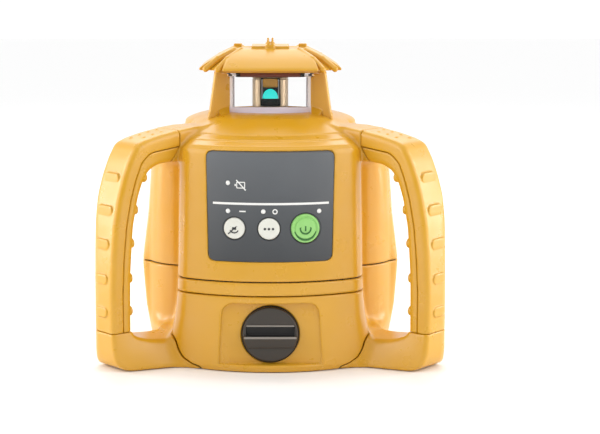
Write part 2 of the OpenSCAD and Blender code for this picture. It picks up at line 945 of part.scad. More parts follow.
module level_tube() {
    color("#9A9DA1")
        difference() {
            union() {
                translate([0, 0, 70]) cylinder(r = tube_r, h = shelf_z + 2 - 70);
                for (side = [-1, 1])
                    translate([0, side > 0 ? 14 : -22, gimbal_z])
                        rotate([-90, 0, 0]) cylinder(r = 4, h = 8);
                for (axis_name = ["x", "y"])
                    on_arm(axis_name)
                        translate([14, -5, arm_z - 4.4]) cube([arm_r - 10, 10, 8.8]);
                rotate([0, 0, 45])
                    translate([0, -9, shelf_z]) cube([motor_at + 9, 18, 2]);
                for (turn = [180, 270])
                    rotate([0, 0, turn])
                        translate([14, -8, 74]) cube([5, 16, 8]);
            }
            translate([0, 0, 60]) cylinder(r = 12.5, h = 52);
            translate([0, 0, 113]) cylinder(r = bearing_r, h = 30);
            translate([0, 0, 60]) cylinder(r = spindle_r + 1.5, h = 100);
            for (axis_name = ["x", "y"])
                on_arm(axis_name)
                    translate([arm_r - 9, -6, arm_z - 2.4]) cube([20, 12, 4.8]);
            rotate([0, 0, 45])
                translate([motor_at, 0, shelf_z - 1]) cylinder(r = 2.4, h = 5);
            for (side = [-1, 1])
                translate([0, side > 0 ? 18 : -28, gimbal_z])
                    rotate([-90, 0, 0]) cylinder(r = pin_r, h = 10);
            for (turn = [180, 270])
                rotate([0, 0, turn])
                    translate([19.5, 8.01, 78]) rotate([90, 0, 0]) cylinder(r = 2.6, h = 16.02);
        }
}

module laser_module() {
    color("#C9A86A")
        translate([0, 0, 70]) {
            cylinder(r = 12.5, h = 3);
            translate([0, 0, 3]) cylinder(r = 9, h = 14);
            translate([0, 0, -4]) cylinder(r = 3, h = 4);
        }
}

module collimator_lens() {
    color("#9FC6D8", 0.6)
        translate([0, 0, 92]) cylinder(r = 12.5, h = 4);
}

module tilt_sensors() {
    color("#BFD8C2", 0.7)
        for (turn = [180, 270])
            rotate([0, 0, turn])
                translate([19.5, 8, 78]) rotate([90, 0, 0]) cylinder(r = 2.6, h = 16);
}

module spindle_bearings() {
    color(metal)
        for (z = [113, 121.2])
            translate([0, 0, z])
                difference() {
                    cylinder(r = bearing_r, h = 5);
                    translate([0, 0, -1]) cylinder(r = spindle_r + run, h = 7);
                }
}

pulley_z = shelf_z + 3.3;
pulley_t = 5;
pulley_r = 13;
small_pulley_r = 4.5;

module drive_motor() {
    color("#55585C")
        rotate([0, 0, 45])
            translate([motor_at, 0, shelf_z - 9]) {
                cylinder(r = motor_r, h = 9);
                cylinder(r = 1, h = 17);
            }
}

module motor_pulley() {
    color("#D8D4C8")
        rotate([0, 0, 45])
            translate([motor_at, 0, pulley_z])
                difference() {
                    cylinder(r = small_pulley_r, h = pulley_t);
                    translate([0, 0, -1]) cylinder(r = 1 + run, h = pulley_t + 2);
                }
}

// Outline of a belt around both pulleys, standing off them by g.
module belt_outline(g) {
    hull() {
        circle(pulley_r + g);
        translate([motor_at, 0]) circle(small_pulley_r + g);
    }
}

module drive_belt() {
    color("#1C1C1C")
        rotate([0, 0, 45])
            translate([0, 0, pulley_z + 1])
                linear_extrude(pulley_t - 2)
                    difference() {
                        belt_outline(1.1);
                        belt_outline(0.1);
                    }
}

module spindle_pulley() {
    color("#D8D4C8")
        translate([0, 0, pulley_z])
            difference() {
                cylinder(r = pulley_r, h = pulley_t);
                translate([0, 0, -1]) cylinder(r = spindle_r, h = pulley_t + 2);
            }
}

rotor_low = 150.2;
rotor_high = 172;

module spindle() {
    color(metal)
        difference() {
            translate([0, 0, 112.6]) cylinder(r = spindle_r, h = rotor_low - 112.6);
            translate([0, 0, 100]) cylinder(r = spindle_r - 2.5, h = 60);
        }
}

module rotor_head() {
    color("#B9A98C")
        difference() {
            translate([0, 0, rotor_low]) cylinder(r = rotor_r, h = rotor_high - rotor_low);
            translate([-6.6, -20, rotor_low + 3]) cube([13.2, 40, rotor_high - rotor_low - 5]);
            translate([0, 0, 140]) cylinder(r = spindle_r - 2.5, h = 15);
        }
}

module prism() {
    color("#C98B3C", 0.8)
        translate([-6.4, -6.4, rotor_low + 3.1]) cube([12.8, 13.4, 16]);
}

module rotor_window() {
    color("#3FD9CF")
        translate([0, -6.5, 161])
            rotate([90, 0, 0]) cylinder(r = 4.7, h = 1.8);
}

module levelling_motors() {
    color("#55585C")
        for (axis_name = ["x", "y"])
            on_arm(axis_name)
                translate([screw_at, 0, motor_low]) cylinder(r = 7.5, h = motor_high - motor_low);
}

module level_screw(axis_name) {
    color(metal)
        on_arm(axis_name)
            translate([screw_at, 0, motor_high + 0.1])
                difference() {
                    cylinder(r = pin_r, h = 20);
                    translate([0, 0, 19]) cube([5, 0.6, 3], center = true);
                }
}

module level_nut(axis_name) {
    color("#E6E0CC")
        on_arm(axis_name)
            difference() {
                union() {
                    translate([screw_at - 3.5, -5, arm_z - 3]) cube([13, 10, 6]);
                    translate([arm_r, 0, arm_z]) rotate([0, 90, 0]) cylinder(r = 1.2, h = 8);
                    translate([arm_r, 0, arm_z]) sphere(r = ball_r, $fn = 48);
                }
                translate([screw_at, 0, arm_z - 10]) cylinder(r = pin_r + 0.1, h = 20);
                translate([guide_at, 0, arm_z - 10]) cylinder(r = 1.6, h = 20);
            }
}

module level_screw_x() { level_screw("x"); }
module level_screw_y() { level_screw("y"); }
module level_nut_x() { level_nut("x"); }
module level_nut_y() { level_nut("y"); }

base_plate();
base_screws();
tripod_insert();
lower_housing();
housing_seal();
upper_housing();
housing_screws();
left_grip_outer();
left_grip_inner();
right_grip_outer();
right_grip_inner();
lantern_frame();
lantern_seal();
front_glass();
rear_glass();
left_glass();
right_glass();
ceiling_plate();
ceiling_screws();
top_cap();
control_panel();
indicator_lenses();
mode_button();
manual_button();
power_button();
key_board();
key_switches();
battery_cover();
cover_gasket();
battery_tray();
battery_cells();
battery_contacts();
lock_knob();
knob_shaft();
knob_seal();
bay_contacts();
main_board();
chassis();
chassis_screws();
outer_pivot_pins();
gimbal_ring();
inner_pivot_pins();
level_tube();
laser_module();
collimator_lens();
tilt_sensors();
spindle_bearings();
drive_motor();
motor_pulley();
drive_belt();
spindle_pulley();
spindle();
rotor_head();
prism();
rotor_window();
levelling_motors();
level_screw_x();
level_screw_y();
level_nut_x();
level_nut_y();
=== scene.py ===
import math

import bmesh
import bpy
import numpy as np
from mathutils import Matrix, Vector
from numpy import hypot, maximum, minimum


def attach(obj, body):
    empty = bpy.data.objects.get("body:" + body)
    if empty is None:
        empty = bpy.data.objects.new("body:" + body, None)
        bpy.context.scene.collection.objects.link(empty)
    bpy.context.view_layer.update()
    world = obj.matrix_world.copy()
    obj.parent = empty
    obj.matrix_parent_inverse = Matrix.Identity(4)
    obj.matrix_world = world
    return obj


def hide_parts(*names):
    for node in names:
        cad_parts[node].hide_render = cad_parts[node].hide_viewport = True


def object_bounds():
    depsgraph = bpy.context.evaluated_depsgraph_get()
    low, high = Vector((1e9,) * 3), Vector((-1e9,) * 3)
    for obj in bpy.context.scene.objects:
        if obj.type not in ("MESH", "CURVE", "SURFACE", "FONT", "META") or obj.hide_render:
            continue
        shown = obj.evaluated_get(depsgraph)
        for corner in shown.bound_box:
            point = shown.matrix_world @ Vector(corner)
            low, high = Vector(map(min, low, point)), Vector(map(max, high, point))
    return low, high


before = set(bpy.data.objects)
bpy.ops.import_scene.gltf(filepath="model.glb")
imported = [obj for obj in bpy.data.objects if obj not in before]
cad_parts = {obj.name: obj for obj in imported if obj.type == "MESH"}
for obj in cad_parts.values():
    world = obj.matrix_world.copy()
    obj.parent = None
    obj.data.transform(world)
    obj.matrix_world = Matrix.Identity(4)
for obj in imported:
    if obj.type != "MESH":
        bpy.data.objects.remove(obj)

CAD_LOW, CAD_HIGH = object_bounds()

# Sizes are in millimetres, as in the CAD source, and meshes are scaled to metres.
MM = 0.001
PHOTO_W = 600

BODY_R = 83.0
FRONT_R = 95.5
BASE_T = 2.5
SEAM_Z = 54.8
SEAM_GAP = 0.3
WALL = 3.0
HALF_WIDTH = 106.0
HANDLE_ANGLE = math.radians(40)
HANDLE_HALF = 12.8
KEY_Z = 86.9
KEYS = {"mode": (-21.5, 6.4), "manual": (-0.8, 6.4), "power": (21.0, 8.7)}
LAMPS = [(-25.4, 113.7), (-25.4, 97.1), (-4.2, 97.1), (29.3, 96.9)]
LAMP_R = 1.5
PANEL_LOW, PANEL_HIGH = 67.0, 132.7
PANEL_HALF, PANEL_LOW_HALF, PANEL_ROUND = 38.4, 37.15, 4.5
PANEL_RECESS, PANEL_FACE = 1.6, 0.5
KNOB_Z, KNOB_R = 22.8, 16.9
RECESS_Y = 89.2
FLOOR_Z, CEILING_Z = 149.6, 173.6
EAVE_Z, UNDER_Z, ROOF_Z, SIGHT_Z, EAVE_HALF = 177.3, 175.7, 191.0, 197.0, 44.6
ROTOR_R, ROTOR_LOW, ROTOR_HIGH = 11.5, 150.2, 172.0


# Above the seam the front steps in, and then leans back by one length over another.
FRONT_STEP, LEAN_BACK, LEAN_RISE = 0.7, 6.2, 76.2


def front_at(z):
    """Radius of the curved front face at a height."""
    return FRONT_R if z <= SEAM_Z else FRONT_R - FRONT_STEP - (z - SEAM_Z) * LEAN_BACK / LEAN_RISE


# ---- Signed distances --------------------------------------------------------

def soft_max(a, b, k):
    """Intersection with an edge rounded over about k."""
    h = maximum(k - np.abs(a - b), 0) / k
    return maximum(a, b) + h * h * k * 0.25


def soft_min(a, b, k):
    return -soft_max(-a, -b, k)


def all_of(*parts):
    out = parts[0]
    for part in parts[1:]:
        out = maximum(out, part)
    return out


def rounded_outline(points, cut):
    """Closed outline whose corners are replaced by short curves."""
    out = []
    count = len(points)
    for i in range(count):
        before, here, after = (np.array(points[(i + s) % count], float) for s in (-1, 0, 1))
        back, ahead = before - here, after - here
        back_len, ahead_len = np.linalg.norm(back), np.linalg.norm(ahead)
        a = here + back / back_len * min(cut, 0.45 * back_len)
        b = here + ahead / ahead_len * min(cut, 0.45 * ahead_len)
        for t in np.linspace(0, 1, 5):
            out.append((1 - t) ** 2 * a + 2 * t * (1 - t) * here + t * t * b)
    return np.array(out)


def outline_distance(px, py, points):
    best = np.full(px.shape, 1e9)
    inside = np.zeros(px.shape, bool)
    for (ax, ay), (bx, by) in zip(points, np.roll(points, -1, axis=0)):
        ex, ey = bx - ax, by - ay
        wx, wy = px - ax, py - ay
        t = np.clip((wx * ex + wy * ey) / (ex * ex + ey * ey + 1e-12), 0, 1)
        best = minimum(best, (wx - ex * t) ** 2 + (wy - ey * t) ** 2)
        crosses = (ay > py) != (by > py)
        inside ^= crosses & (px < ex * (py - ay) / (ey if abs(ey) > 1e-12 else 1e-12) + ax)
    return np.where(inside, -1.0, 1.0) * np.sqrt(best)


class Outline:
    def __init__(self, points, cut=1.5, step=0.4, margin=16.0):
        points = rounded_outline(points, cut)
        self.step = step
        self.low = points.min(axis=0) - margin
        size = np.ceil((points.max(axis=0) + margin - self.low) / step).astype(int) + 1
        u = self.low[0] + np.arange(size[0]) * step
        v = self.low[1] + np.arange(size[1]) * step
        grid_u, grid_v = np.meshgrid(u, v, indexing="ij")
        self.table = outline_distance(grid_u, grid_v, points)
        self.size = size

    def __call__(self, u, v):
        fu, fv = (u - self.low[0]) / self.step, (v - self.low[1]) / self.step
        cu, cv = np.clip(fu, 0, self.size[0] - 1.001), np.clip(fv, 0, self.size[1] - 1.001)
        beyond = hypot(fu - cu, fv - cv) * self.step
        i, j = cu.astype(int), cv.astype(int)
        a, b = cu - i, cv - j
        t = self.table
        near = t[i, j] * (1 - a) * (1 - b) + t[i + 1, j] * a * (1 - b)
        return near + t[i, j + 1] * (1 - a) * b + t[i + 1, j + 1] * a * b + beyond


def hull_planes(points):
    """Outward planes of the convex hull of some points."""
    bm = bmesh.new()
    for point in points:
        bm.verts.new(point)
    bmesh.ops.convex_hull(bm, input=bm.verts)
    centre = np.mean(points, axis=0)
    planes = {}
    for face in bm.faces:
        face.normal_update()
        normal = np.array(face.normal)
        offset = float(normal @ np.array(face.verts[0].co))
        if normal @ centre > offset:
            normal, offset = -normal, -offset
        planes[tuple(np.round(np.append(normal, offset), 2))] = (normal, offset)
    bm.free()
    return list(planes.values())


def hull_distance(planes, x, y, z, sharp):
    """Distance to a convex solid; a larger sharp leaves smaller edge radii."""
    total = 0.0
    for normal, offset in planes:
        side = normal[0] * x + normal[1] * y + normal[2] * z - offset
        total = total + np.exp(np.clip(side * sharp, -60, 60))
    return np.log(total) / sharp


def box_points(low, high):
    return [(x, y, z) for x in (low[0], high[0]) for y in (low[1], high[1]) for z in (low[2], high[2])]


def box_distance(x, y, z, low, high, k=0.6):
    mid = [(a + b) / 2 for a, b in zip(low, high)]
    half = [(b - a) / 2 for a, b in zip(low, high)]
    d = soft_max(np.abs(x - mid[0]) - half[0], np.abs(y - mid[1]) - half[1], k)
    return soft_max(d, np.abs(z - mid[2]) - half[2], k)


# ---- Meshing -----------------------------------------------------------------

BLOCK = 4
AXES = ((0, 1, 2), (1, 2, 0), (2, 0, 1))


def sample_grid(shape, low, counts, step):
    """Distances on a grid, worked out only in blocks that the surface may cross."""
    blocks = -(-counts // BLOCK)
    index = np.stack(np.meshgrid(*[np.arange(n) for n in blocks], indexing="ij"), -1).reshape(-1, 3)
    centre = low + (index * BLOCK + (BLOCK - 1) / 2) * step
    value = shape(*centre.T)
    full = np.repeat(value.astype(np.float32), BLOCK ** 3).reshape(-1, BLOCK, BLOCK, BLOCK)
    busy = np.abs(value) < (0.866 * BLOCK + 1.2) * step * 1.12
    local = np.stack(np.meshgrid(*[np.arange(BLOCK)] * 3, indexing="ij"), -1).reshape(1, -1, 3)
    points = (low + (index[busy][:, None, :] * BLOCK + local) * step).reshape(-1, 3)
    full[busy] = shape(*points.T).reshape(-1, BLOCK, BLOCK, BLOCK)
    full = full.reshape(*blocks, BLOCK, BLOCK, BLOCK).transpose(0, 3, 1, 4, 2, 5)
    return full.reshape(blocks * BLOCK)


TETRA = np.array([(1, -1, -1), (-1, -1, 1), (-1, 1, -1), (1, 1, 1)], float)


def gradients(shape, points, reach):
    total = np.zeros_like(points)
    for corner in TETRA:
        total += corner * shape(*(points + corner * reach).T)[:, None]
    return total / maximum(np.linalg.norm(total, axis=1, keepdims=True), 1e-9)


def surface(shape, low, high, step):
    """Dual contour of a distance function: vertices sit on edges as well as on faces."""
    low, high = np.array(low, float), np.array(high, float)
    counts = np.ceil((high - low) / step).astype(int) + 1
    value = sample_grid(shape, low, counts, step)
    counts = np.array(value.shape)
    strides = np.array([counts[1] * counts[2], counts[2], 1])
    keys, points, flips = [], [], []
    for a, b, c in AXES:
        near = [slice(None)] * 3
        far = [slice(None)] * 3
        near[a], far[a] = slice(0, -1), slice(1, None)
        first, second = value[tuple(near)], value[tuple(far)]
        index = np.argwhere((first < 0) != (second < 0))
        v0, v1 = first[tuple(index.T)], second[tuple(index.T)]
        place = index.astype(float)
        place[:, a] += v0 / (v0 - v1)
        points.append(low + place * step)
        flips.append(v0 >= 0)
        around = []
        for shift_b, shift_c in ((-1, -1), (0, -1), (0, 0), (-1, 0)):
            cell = index.copy()
            cell[:, b] += shift_b
            cell[:, c] += shift_c
            around.append(cell @ strides)
        keys.append(np.stack(around, 1))
    keys, points, flips = np.concatenate(keys), np.concatenate(points), np.concatenate(flips)
    normals = gradients(shape, points, 0.12 * step)
    cells, quads = np.unique(keys, return_inverse=True)
    quads = quads.reshape(keys.shape)
    verts = settle(points, normals, quads, len(cells), low, cells, strides, step)
    quads[flips] = quads[flips][:, ::-1]
    return verts, quads


def settle(points, normals, quads, count, low, cells, strides, step):
    """Puts each cell's vertex where the planes through its crossings meet best."""
    flat = quads.ravel()
    p, n = np.repeat(points, 4, axis=0), np.repeat(normals, 4, axis=0)
    number = np.bincount(flat, minlength=count)[:, None]
    mean = np.stack([np.bincount(flat, p[:, i], count) for i in range(3)], 1) / number
    offset = np.einsum("ij,ij->i", n, p - mean[flat])
    matrix = np.empty((count, 3, 3))
    right = np.empty((count, 3))
    for i in range(3):
        right[:, i] = np.bincount(flat, n[:, i] * offset, count)
        for j in range(3):
            matrix[:, i, j] = np.bincount(flat, n[:, i] * n[:, j], count)
    matrix += np.eye(3) * 0.08
    move = np.linalg.solve(matrix, right[:, :, None])[:, :, 0]
    corner = np.stack([cells // strides[0], cells % strides[0] // strides[1], cells % strides[1]], 1)
    corner = low + corner * step
    return np.clip(mean + move, corner - 0.2 * step, corner + 1.2 * step)


def new_mesh(name, verts, faces):
    """Mesh from millimetre vertices and an array of faces of one size."""
    mesh = bpy.data.meshes.new(name)
    sides = faces.shape[1]
    mesh.vertices.add(len(verts))
    mesh.vertices.foreach_set("co", (verts * MM).astype(np.float32).ravel())
    mesh.loops.add(faces.size)
    mesh.loops.foreach_set("vertex_index", faces.astype(np.int32).ravel())
    mesh.polygons.add(len(faces))
    mesh.polygons.foreach_set("loop_start", np.arange(0, faces.size, sides, dtype=np.int32))
    mesh.update(calc_edges=True)
    mesh.validate()
    return mesh


def thin_out(mesh, limit):
    """Collapses the flattest triangles until no more than limit are left."""
    mesh.calc_loop_triangles()
    triangles = len(mesh.loop_triangles)
    if triangles <= limit:
        return mesh
    holder = bpy.data.objects.new("holder", mesh)
    link(holder)
    modifier = holder.modifiers.new("thin", "DECIMATE")
    modifier.ratio = limit / triangles
    graph = bpy.context.evaluated_depsgraph_get()
    thinned = bpy.data.meshes.new_from_object(holder.evaluated_get(graph))
    bpy.data.objects.remove(holder)
    return thinned


def vertices_of(mesh):
    flat = np.empty(len(mesh.vertices) * 3, np.float32)
    mesh.vertices.foreach_get("co", flat)
    return flat.reshape(-1, 3).astype(float) / MM


def shade_from(mesh, shape, reach):
    """Smooth shading with the true normals of the shape."""
    mesh.polygons.foreach_set("use_smooth", np.ones(len(mesh.polygons), bool))
    mesh.normals_split_custom_set_from_vertices(gradients(shape, vertices_of(mesh), reach))


def sculpt(name, shape, low, high, step, materials, limit=150000, mirror=False, reach=0.3):
    """One piece meshed from a distance function."""
    verts, quads = surface(shape, low, high, step)
    verts = np.clip(verts, np.array(CAD_LOW) / MM + 0.01, np.array(CAD_HIGH) / MM - 0.01)
    mesh = thin_out(new_mesh(name, verts, quads), limit)
    shade_from(mesh, shape, reach)
    pieces = [as_object(name, mesh, materials)]
    if mirror:
        verts = vertices_of(mesh) * (-1, 1, 1)
        faces = np.array([list(p.vertices)[::-1] for p in mesh.polygons])
        other = new_mesh(name + "_mirrored", verts, faces)
        shade_from(other, lambda x, y, z: shape(-x, y, z), reach)
        pieces.append(as_object(name + "_mirrored", other, materials))
    return pieces if mirror else pieces[0]


def link(thing):
    bpy.context.scene.collection.objects.link(thing)


def as_object(name, mesh, materials):
    thing = bpy.data.objects.new(name, mesh)
    for material in materials if isinstance(materials, (list, tuple)) else [materials]:
        mesh.materials.append(material)
    link(thing)
    return thing


def ride(thing, body, *nodes):
    if nodes:
        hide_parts(*nodes)
    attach(thing, body)
    return thing


# ---- Materials ---------------------------------------------------------------

def srgb(red, green, blue):
    def linear(value):
        value /= 255
        return value / 12.92 if value <= 0.04045 else ((value + 0.055) / 1.055) ** 2.4
    return (linear(red), linear(green), linear(blue), 1.0)


def map_range(tree, value, *limits):
    """Maps a span of values evenly to another; limits are from low, from high, to low, to high."""
    node = tree.nodes.new("ShaderNodeMapRange")
    for key, limit in zip(("From Min", "From Max", "To Min", "To Max"), limits):
        node.inputs[key].default_value = limit
    tree.links.new(value, node.inputs["Value"])
    return node.outputs["Result"]


def split_part(tree, place, axis):
    split = tree.nodes.new("ShaderNodeSeparateXYZ")
    tree.links.new(place, split.inputs["Vector"])
    return split.outputs[axis]


def faded(tree, colour, place, low_z, low_tone, high_z, high_tone):
    """Multiplies a colour by a tone that changes evenly with height."""
    tone = map_range(tree, split_part(tree, place, "Z"), low_z * MM, high_z * MM, low_tone, high_tone)
    scale = tree.nodes.new("ShaderNodeVectorMath")
    scale.operation = "SCALE"
    tree.links.new(colour, scale.inputs[0])
    tree.links.new(tone, scale.inputs["Scale"])
    return scale.outputs["Vector"]


# The part of a noise's span that covers a material's whole variation.
NOISE_SPAN = (0.3, 0.7)


def surface_material(name, colour, rough, grain, depth, mottle=0.04, metal=0.0, coat=0.0, fade=None,
                     **inputs):
    """Moulded or cast finish: fine grain, soft unevenness, slight variation of tone and gloss."""
    material = bpy.data.materials.new(name)
    material.use_nodes = True
    tree = material.node_tree
    shader = tree.nodes["Principled BSDF"]
    place = tree.nodes.new("ShaderNodeTexCoord").outputs["Object"]
    shader.inputs["Metallic"].default_value = metal
    shader.inputs["Coat Weight"].default_value = coat
    for key, value in inputs.items():
        shader.inputs[key.replace("_", " ")].default_value = value

    def noise(size_mm, detail):
        node = tree.nodes.new("ShaderNodeTexNoise")
        node.inputs["Scale"].default_value = 1 / (size_mm * MM)
        node.inputs["Detail"].default_value = detail
        tree.links.new(place, node.inputs["Vector"])
        return node.outputs["Fac"]

    def ramp(source, low, high):
        return map_range(tree, source, *NOISE_SPAN, low, high)

    tone = tree.nodes.new("ShaderNodeHueSaturation")
    tone.inputs["Color"].default_value = colour
    tree.links.new(ramp(noise(38, 3), 1 - mottle, 1 + mottle), tone.inputs["Value"])
    tree.links.new(ramp(noise(21, 2), 1 - mottle, 1 + mottle), tone.inputs["Saturation"])
    shade = tone.outputs["Color"]
    # An optional fade paints light and shade into the colour: a tone that changes evenly with height.
    if fade:
        shade = faded(tree, shade, place, *fade)
    tree.links.new(shade, shader.inputs["Base Color"])
    tree.links.new(ramp(noise(12, 4), rough * 0.88, min(rough * 1.12, 1)), shader.inputs["Roughness"])
    bump = tree.nodes.new("ShaderNodeBump")
    bump.inputs["Strength"].default_value = 0.5
    bump.inputs["Distance"].default_value = depth * MM
    tree.links.new(noise(grain, 2), bump.inputs["Height"])
    tree.links.new(bump.outputs["Normal"], shader.inputs["Normal"])
    return material


GLASSY = dict(mottle=0.0, IOR=1.18, Transmission_Weight=1.0)
# Each material's name, sRGB colour, roughness, grain and depth of its grain in mm, and other settings.
MATERIALS = {
    "yellow": ("moulded_yellow", (213, 158, 36), 0.3, 0.35, 0.03,
               dict(mottle=0.015, Specular_IOR_Level=0.5, IOR=1.6)),
    # The panel's grey is painted darker towards the bottom and lighter towards the top: painted shade and
    # painted light.
    "panel": ("panel_grey", (86, 89, 92), 0.4, 0.2, 0.02,
              dict(mottle=0.05, fade=(PANEL_LOW, 0.56, PANEL_HIGH, 1.4))),
    "white_print": ("white_print", (238, 238, 234), 0.5, 0.2, 0.01),
    "dark_print": ("dark_print", (40, 42, 44), 0.5, 0.2, 0.01),
    "key": ("key_off_white", (226, 226, 216), 0.45, 0.25, 0.03),
    "green": ("key_green", (150, 208, 122), 0.4, 0.25, 0.03),
    "dark_green": ("ring_green", (52, 108, 48), 0.4, 0.25, 0.03),
    "lamp": ("lamp_lens", (244, 244, 240), 0.2, 0.5, 0.01),
    "knob": ("charcoal_plastic", (56, 50, 43), 0.36, 0.4, 0.05),
    # Lighter charcoal for the painted highlights on the knob's lip and bar edge.
    "knob_painted_highlight": ("charcoal_painted_highlight", (140, 134, 126), 0.3, 0.4, 0.03),
    "black": ("black_plastic", (28, 27, 26), 0.55, 0.4, 0.06),
    "maroon": ("ceiling_brown", (112, 56, 40), 0.4, 0.4, 0.04),
    "lilac": ("lantern_floor", (242, 236, 248), 0.3, 0.4, 0.02),
    "pale": ("clear_edge", (250, 249, 252), 0.2, 0.6, 0.01),
    "glass": ("window_glass", (255, 255, 255), 0.0, 9, 0.004, GLASSY),
    "prism": ("prism_glass", (214, 160, 72), 0.05, 9, 0.004, GLASSY),
    "gold": ("gold_mount", (214, 160, 72), 0.32, 0.35, 0.03, dict(metal=0.4)),
    # The lens is made to glow by emission as painted light; it is no lamp.
    "teal": ("coated_lens", (40, 226, 216), 0.12, 1.2, 0.01,
             dict(coat=0.6, Emission_Color=srgb(30, 220, 210), Emission_Strength=0.75)),
    "rotor": ("rotor_metal", (168, 146, 116), 0.34, 0.3, 0.05, dict(metal=0.55)),
    "cast": ("cast_metal", (168, 172, 176), 0.42, 0.8, 0.1, dict(metal=0.9)),
    "steel": ("steel", (190, 192, 196), 0.24, 0.3, 0.02, dict(metal=1.0)),
    "brass": ("brass", (186, 154, 88), 0.28, 0.4, 0.02, dict(metal=1.0)),
    "rubber": ("rubber", (34, 34, 34), 0.75, 0.5, 0.08),
    "board": ("circuit_board", (38, 92, 58), 0.45, 1.5, 0.04, dict(mottle=0.15)),
    "cell": ("cell_jacket", (52, 96, 130), 0.3, 0.6, 0.02),
    "nylon": ("nylon", (214, 208, 192), 0.45, 0.5, 0.05),
    "motor": ("motor_case", (96, 99, 104), 0.35, 0.4, 0.03, dict(metal=0.8)),
}


def make_materials():
    kinds = {}
    for kind, (name, colour, rough, grain, depth, *others) in MATERIALS.items():
        kinds[kind] = surface_material(name, srgb(*colour), rough, grain, depth, **dict(*others))
    return kinds


FINISH = {
    "black": ["base_plate", "battery_tray"],
    "steel": ["base_screws", "housing_screws", "ceiling_screws", "knob_shaft", "chassis_screws",
              "outer_pivot_pins", "inner_pivot_pins", "spindle_bearings", "spindle",
              "level_screw_x", "level_screw_y", "key_switches"],
    "brass": ["tripod_insert", "battery_contacts", "bay_contacts", "laser_module"],
    "rubber": ["housing_seal", "lantern_seal", "cover_gasket", "knob_seal", "drive_belt"],
    "glass": ["front_glass", "rear_glass", "left_glass", "right_glass", "collimator_lens", "tilt_sensors"],
    "maroon": ["ceiling_plate"],
    "panel": ["control_panel"],
    "board": ["key_board", "main_board"],
    "cell": ["battery_cells"],
    "cast": ["chassis", "gimbal_ring", "level_tube"],
    "motor": ["drive_motor", "levelling_motors"],
    "nylon": ["motor_pulley", "spindle_pulley", "level_nut_x", "level_nut_y"],
}


def dress_cad_nodes(kinds):
    for kind, names in FINISH.items():
        for name in names:
            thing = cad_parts[name]
            thing.data.materials.clear()
            thing.data.materials.append(kinds[kind])


# ---- Body shapes -------------------------------------------------------------

INWARD = -70.0
REAR = Outline([
    (INWARD, 2.5), (BODY_R - 6.5, 2.5), (BODY_R - 4.5, 12), (BODY_R - 2, 26), (BODY_R - 0.5, 46),
    (BODY_R, SEAM_Z), (BODY_R - 4, 86), (BODY_R - 6, 113), (BODY_R - 7.5, 122), (BODY_R - 13, 131),
    (BODY_R - 21, 137), (54.6, 141.6), (54.6, 145.2), (48, 148.0), (40, 149.9), (34, 150.6),
    (INWARD, 150.6)], cut=3.5)
FRONT = Outline([
    (INWARD, 0.4), (94.3, 0.4), (95.5, 3.4), (95.5, 54.8), (94.8, 55.2), (88.6, 131), (87.6, 133.6),
    (86.2, 134.5), (85.9, 135.2), (80.0, 137.2), (79.2, 137.5), (78.9, 138.2), (70.6, 140.0),
    (69.8, 140.2), (69.5, 140.8), (60, 145.2), (52, 148.6), (44, 150.2), (INWARD, 150.2)], cut=0.7)
NOTCH = Outline([
    (52, -130), (52, -37), (61, -35), (68, -30.5), (74, -24), (78, -16), (130, -16), (130, -130)], cut=7)
NOTCH_LOW, NOTCH_HIGH = 16, 123
BLOCK_SIDE = [(2.5, 58.2), (10, 60.7), (19, 60.7), (32, 57.9), (45, 56.6), (54.8, 56.2), (121, 55.0),
              (132, 54.4), (141.6, 47), (150, 41)]
PANEL = Outline([
    (-PANEL_LOW_HALF, PANEL_LOW), (PANEL_LOW_HALF, PANEL_LOW), (PANEL_HALF, PANEL_HIGH),
    (-PANEL_HALF, PANEL_HIGH)], cut=PANEL_ROUND)


def block_half(z):
    heights, widths = zip(*BLOCK_SIDE)
    return np.interp(z, heights, widths)


def body_distance(x, y, z):
    across, r = np.abs(x), hypot(x, y)
    notch = soft_max(NOTCH(across, y), soft_max(NOTCH_LOW - z, z - NOTCH_HIGH, 3), 9)
    rear = soft_max(REAR(r, z), -notch, 3)
    block = soft_max(FRONT(r, z), across - block_half(z), 7)
    block = soft_max(block, y + 2, 2)
    return soft_min(rear, block, 3)


def in_handle(x, y):
    """Distance from the spin axis along the nearer handle's plane, and distance across it."""
    across = np.abs(x)
    c, s = math.cos(HANDLE_ANGLE), math.sin(HANDLE_ANGLE)
    return across * c - y * s, across * s + y * c


def on_radius(x, y, at_x, at_z):
    """Tangential distance from the radius through a point of the front face."""
    turn = math.asin(at_x / front_at(at_z))
    return x * math.cos(turn) + y * math.sin(turn)


ARM_ROOT = Outline([(40, 123.8), (95, 123.8), (95, 141), (82.1, 143), (70, 144.2), (40, 144.6)], cut=1.0)
ARM_END, ARM_SLANT, PARTING_Z = 82.1, 0.7, 133.0


def arm_end(z):
    """Where the housing's arm stops and the grip shells start, along the handle's plane."""
    return ARM_END + np.clip(PARTING_Z - z, 0, 10) * ARM_SLANT


def upper_housing_distance(x, y, z):
    r = hypot(x, y)
    body = body_distance(x, y, z)
    along, side = in_handle(x, y)
    arm = soft_max(ARM_ROOT(along, z), np.abs(side) - HANDLE_HALF, 3)
    arm = soft_max(maximum(arm, 40 - along), along - arm_end(z), 0.5)
    outside = soft_min(body, arm, 3)
    cut = all_of(PANEL(x, z), -(FRONT(r, z) + PANEL_RECESS), y)
    outside = soft_max(outside, -cut, 0.7)
    shell = maximum(outside, -(body + WALL))
    ledge = all_of(r - 39, 143.4 - z, z - 148.4)
    solid = minimum(shell, ledge)
    solid = soft_max(solid, SEAM_Z + SEAM_GAP + 0.2 - z, 1.1)
    solid = all_of(solid, -maximum(r - 31, 100 - z), -maximum(r - 36, 146.2 - z))
    for at_x, radius in KEYS.values():
        hole = hypot(on_radius(x, y, at_x, KEY_Z), z - KEY_Z) - radius - 0.3
        solid = maximum(solid, -maximum(hole, y))
    return solid


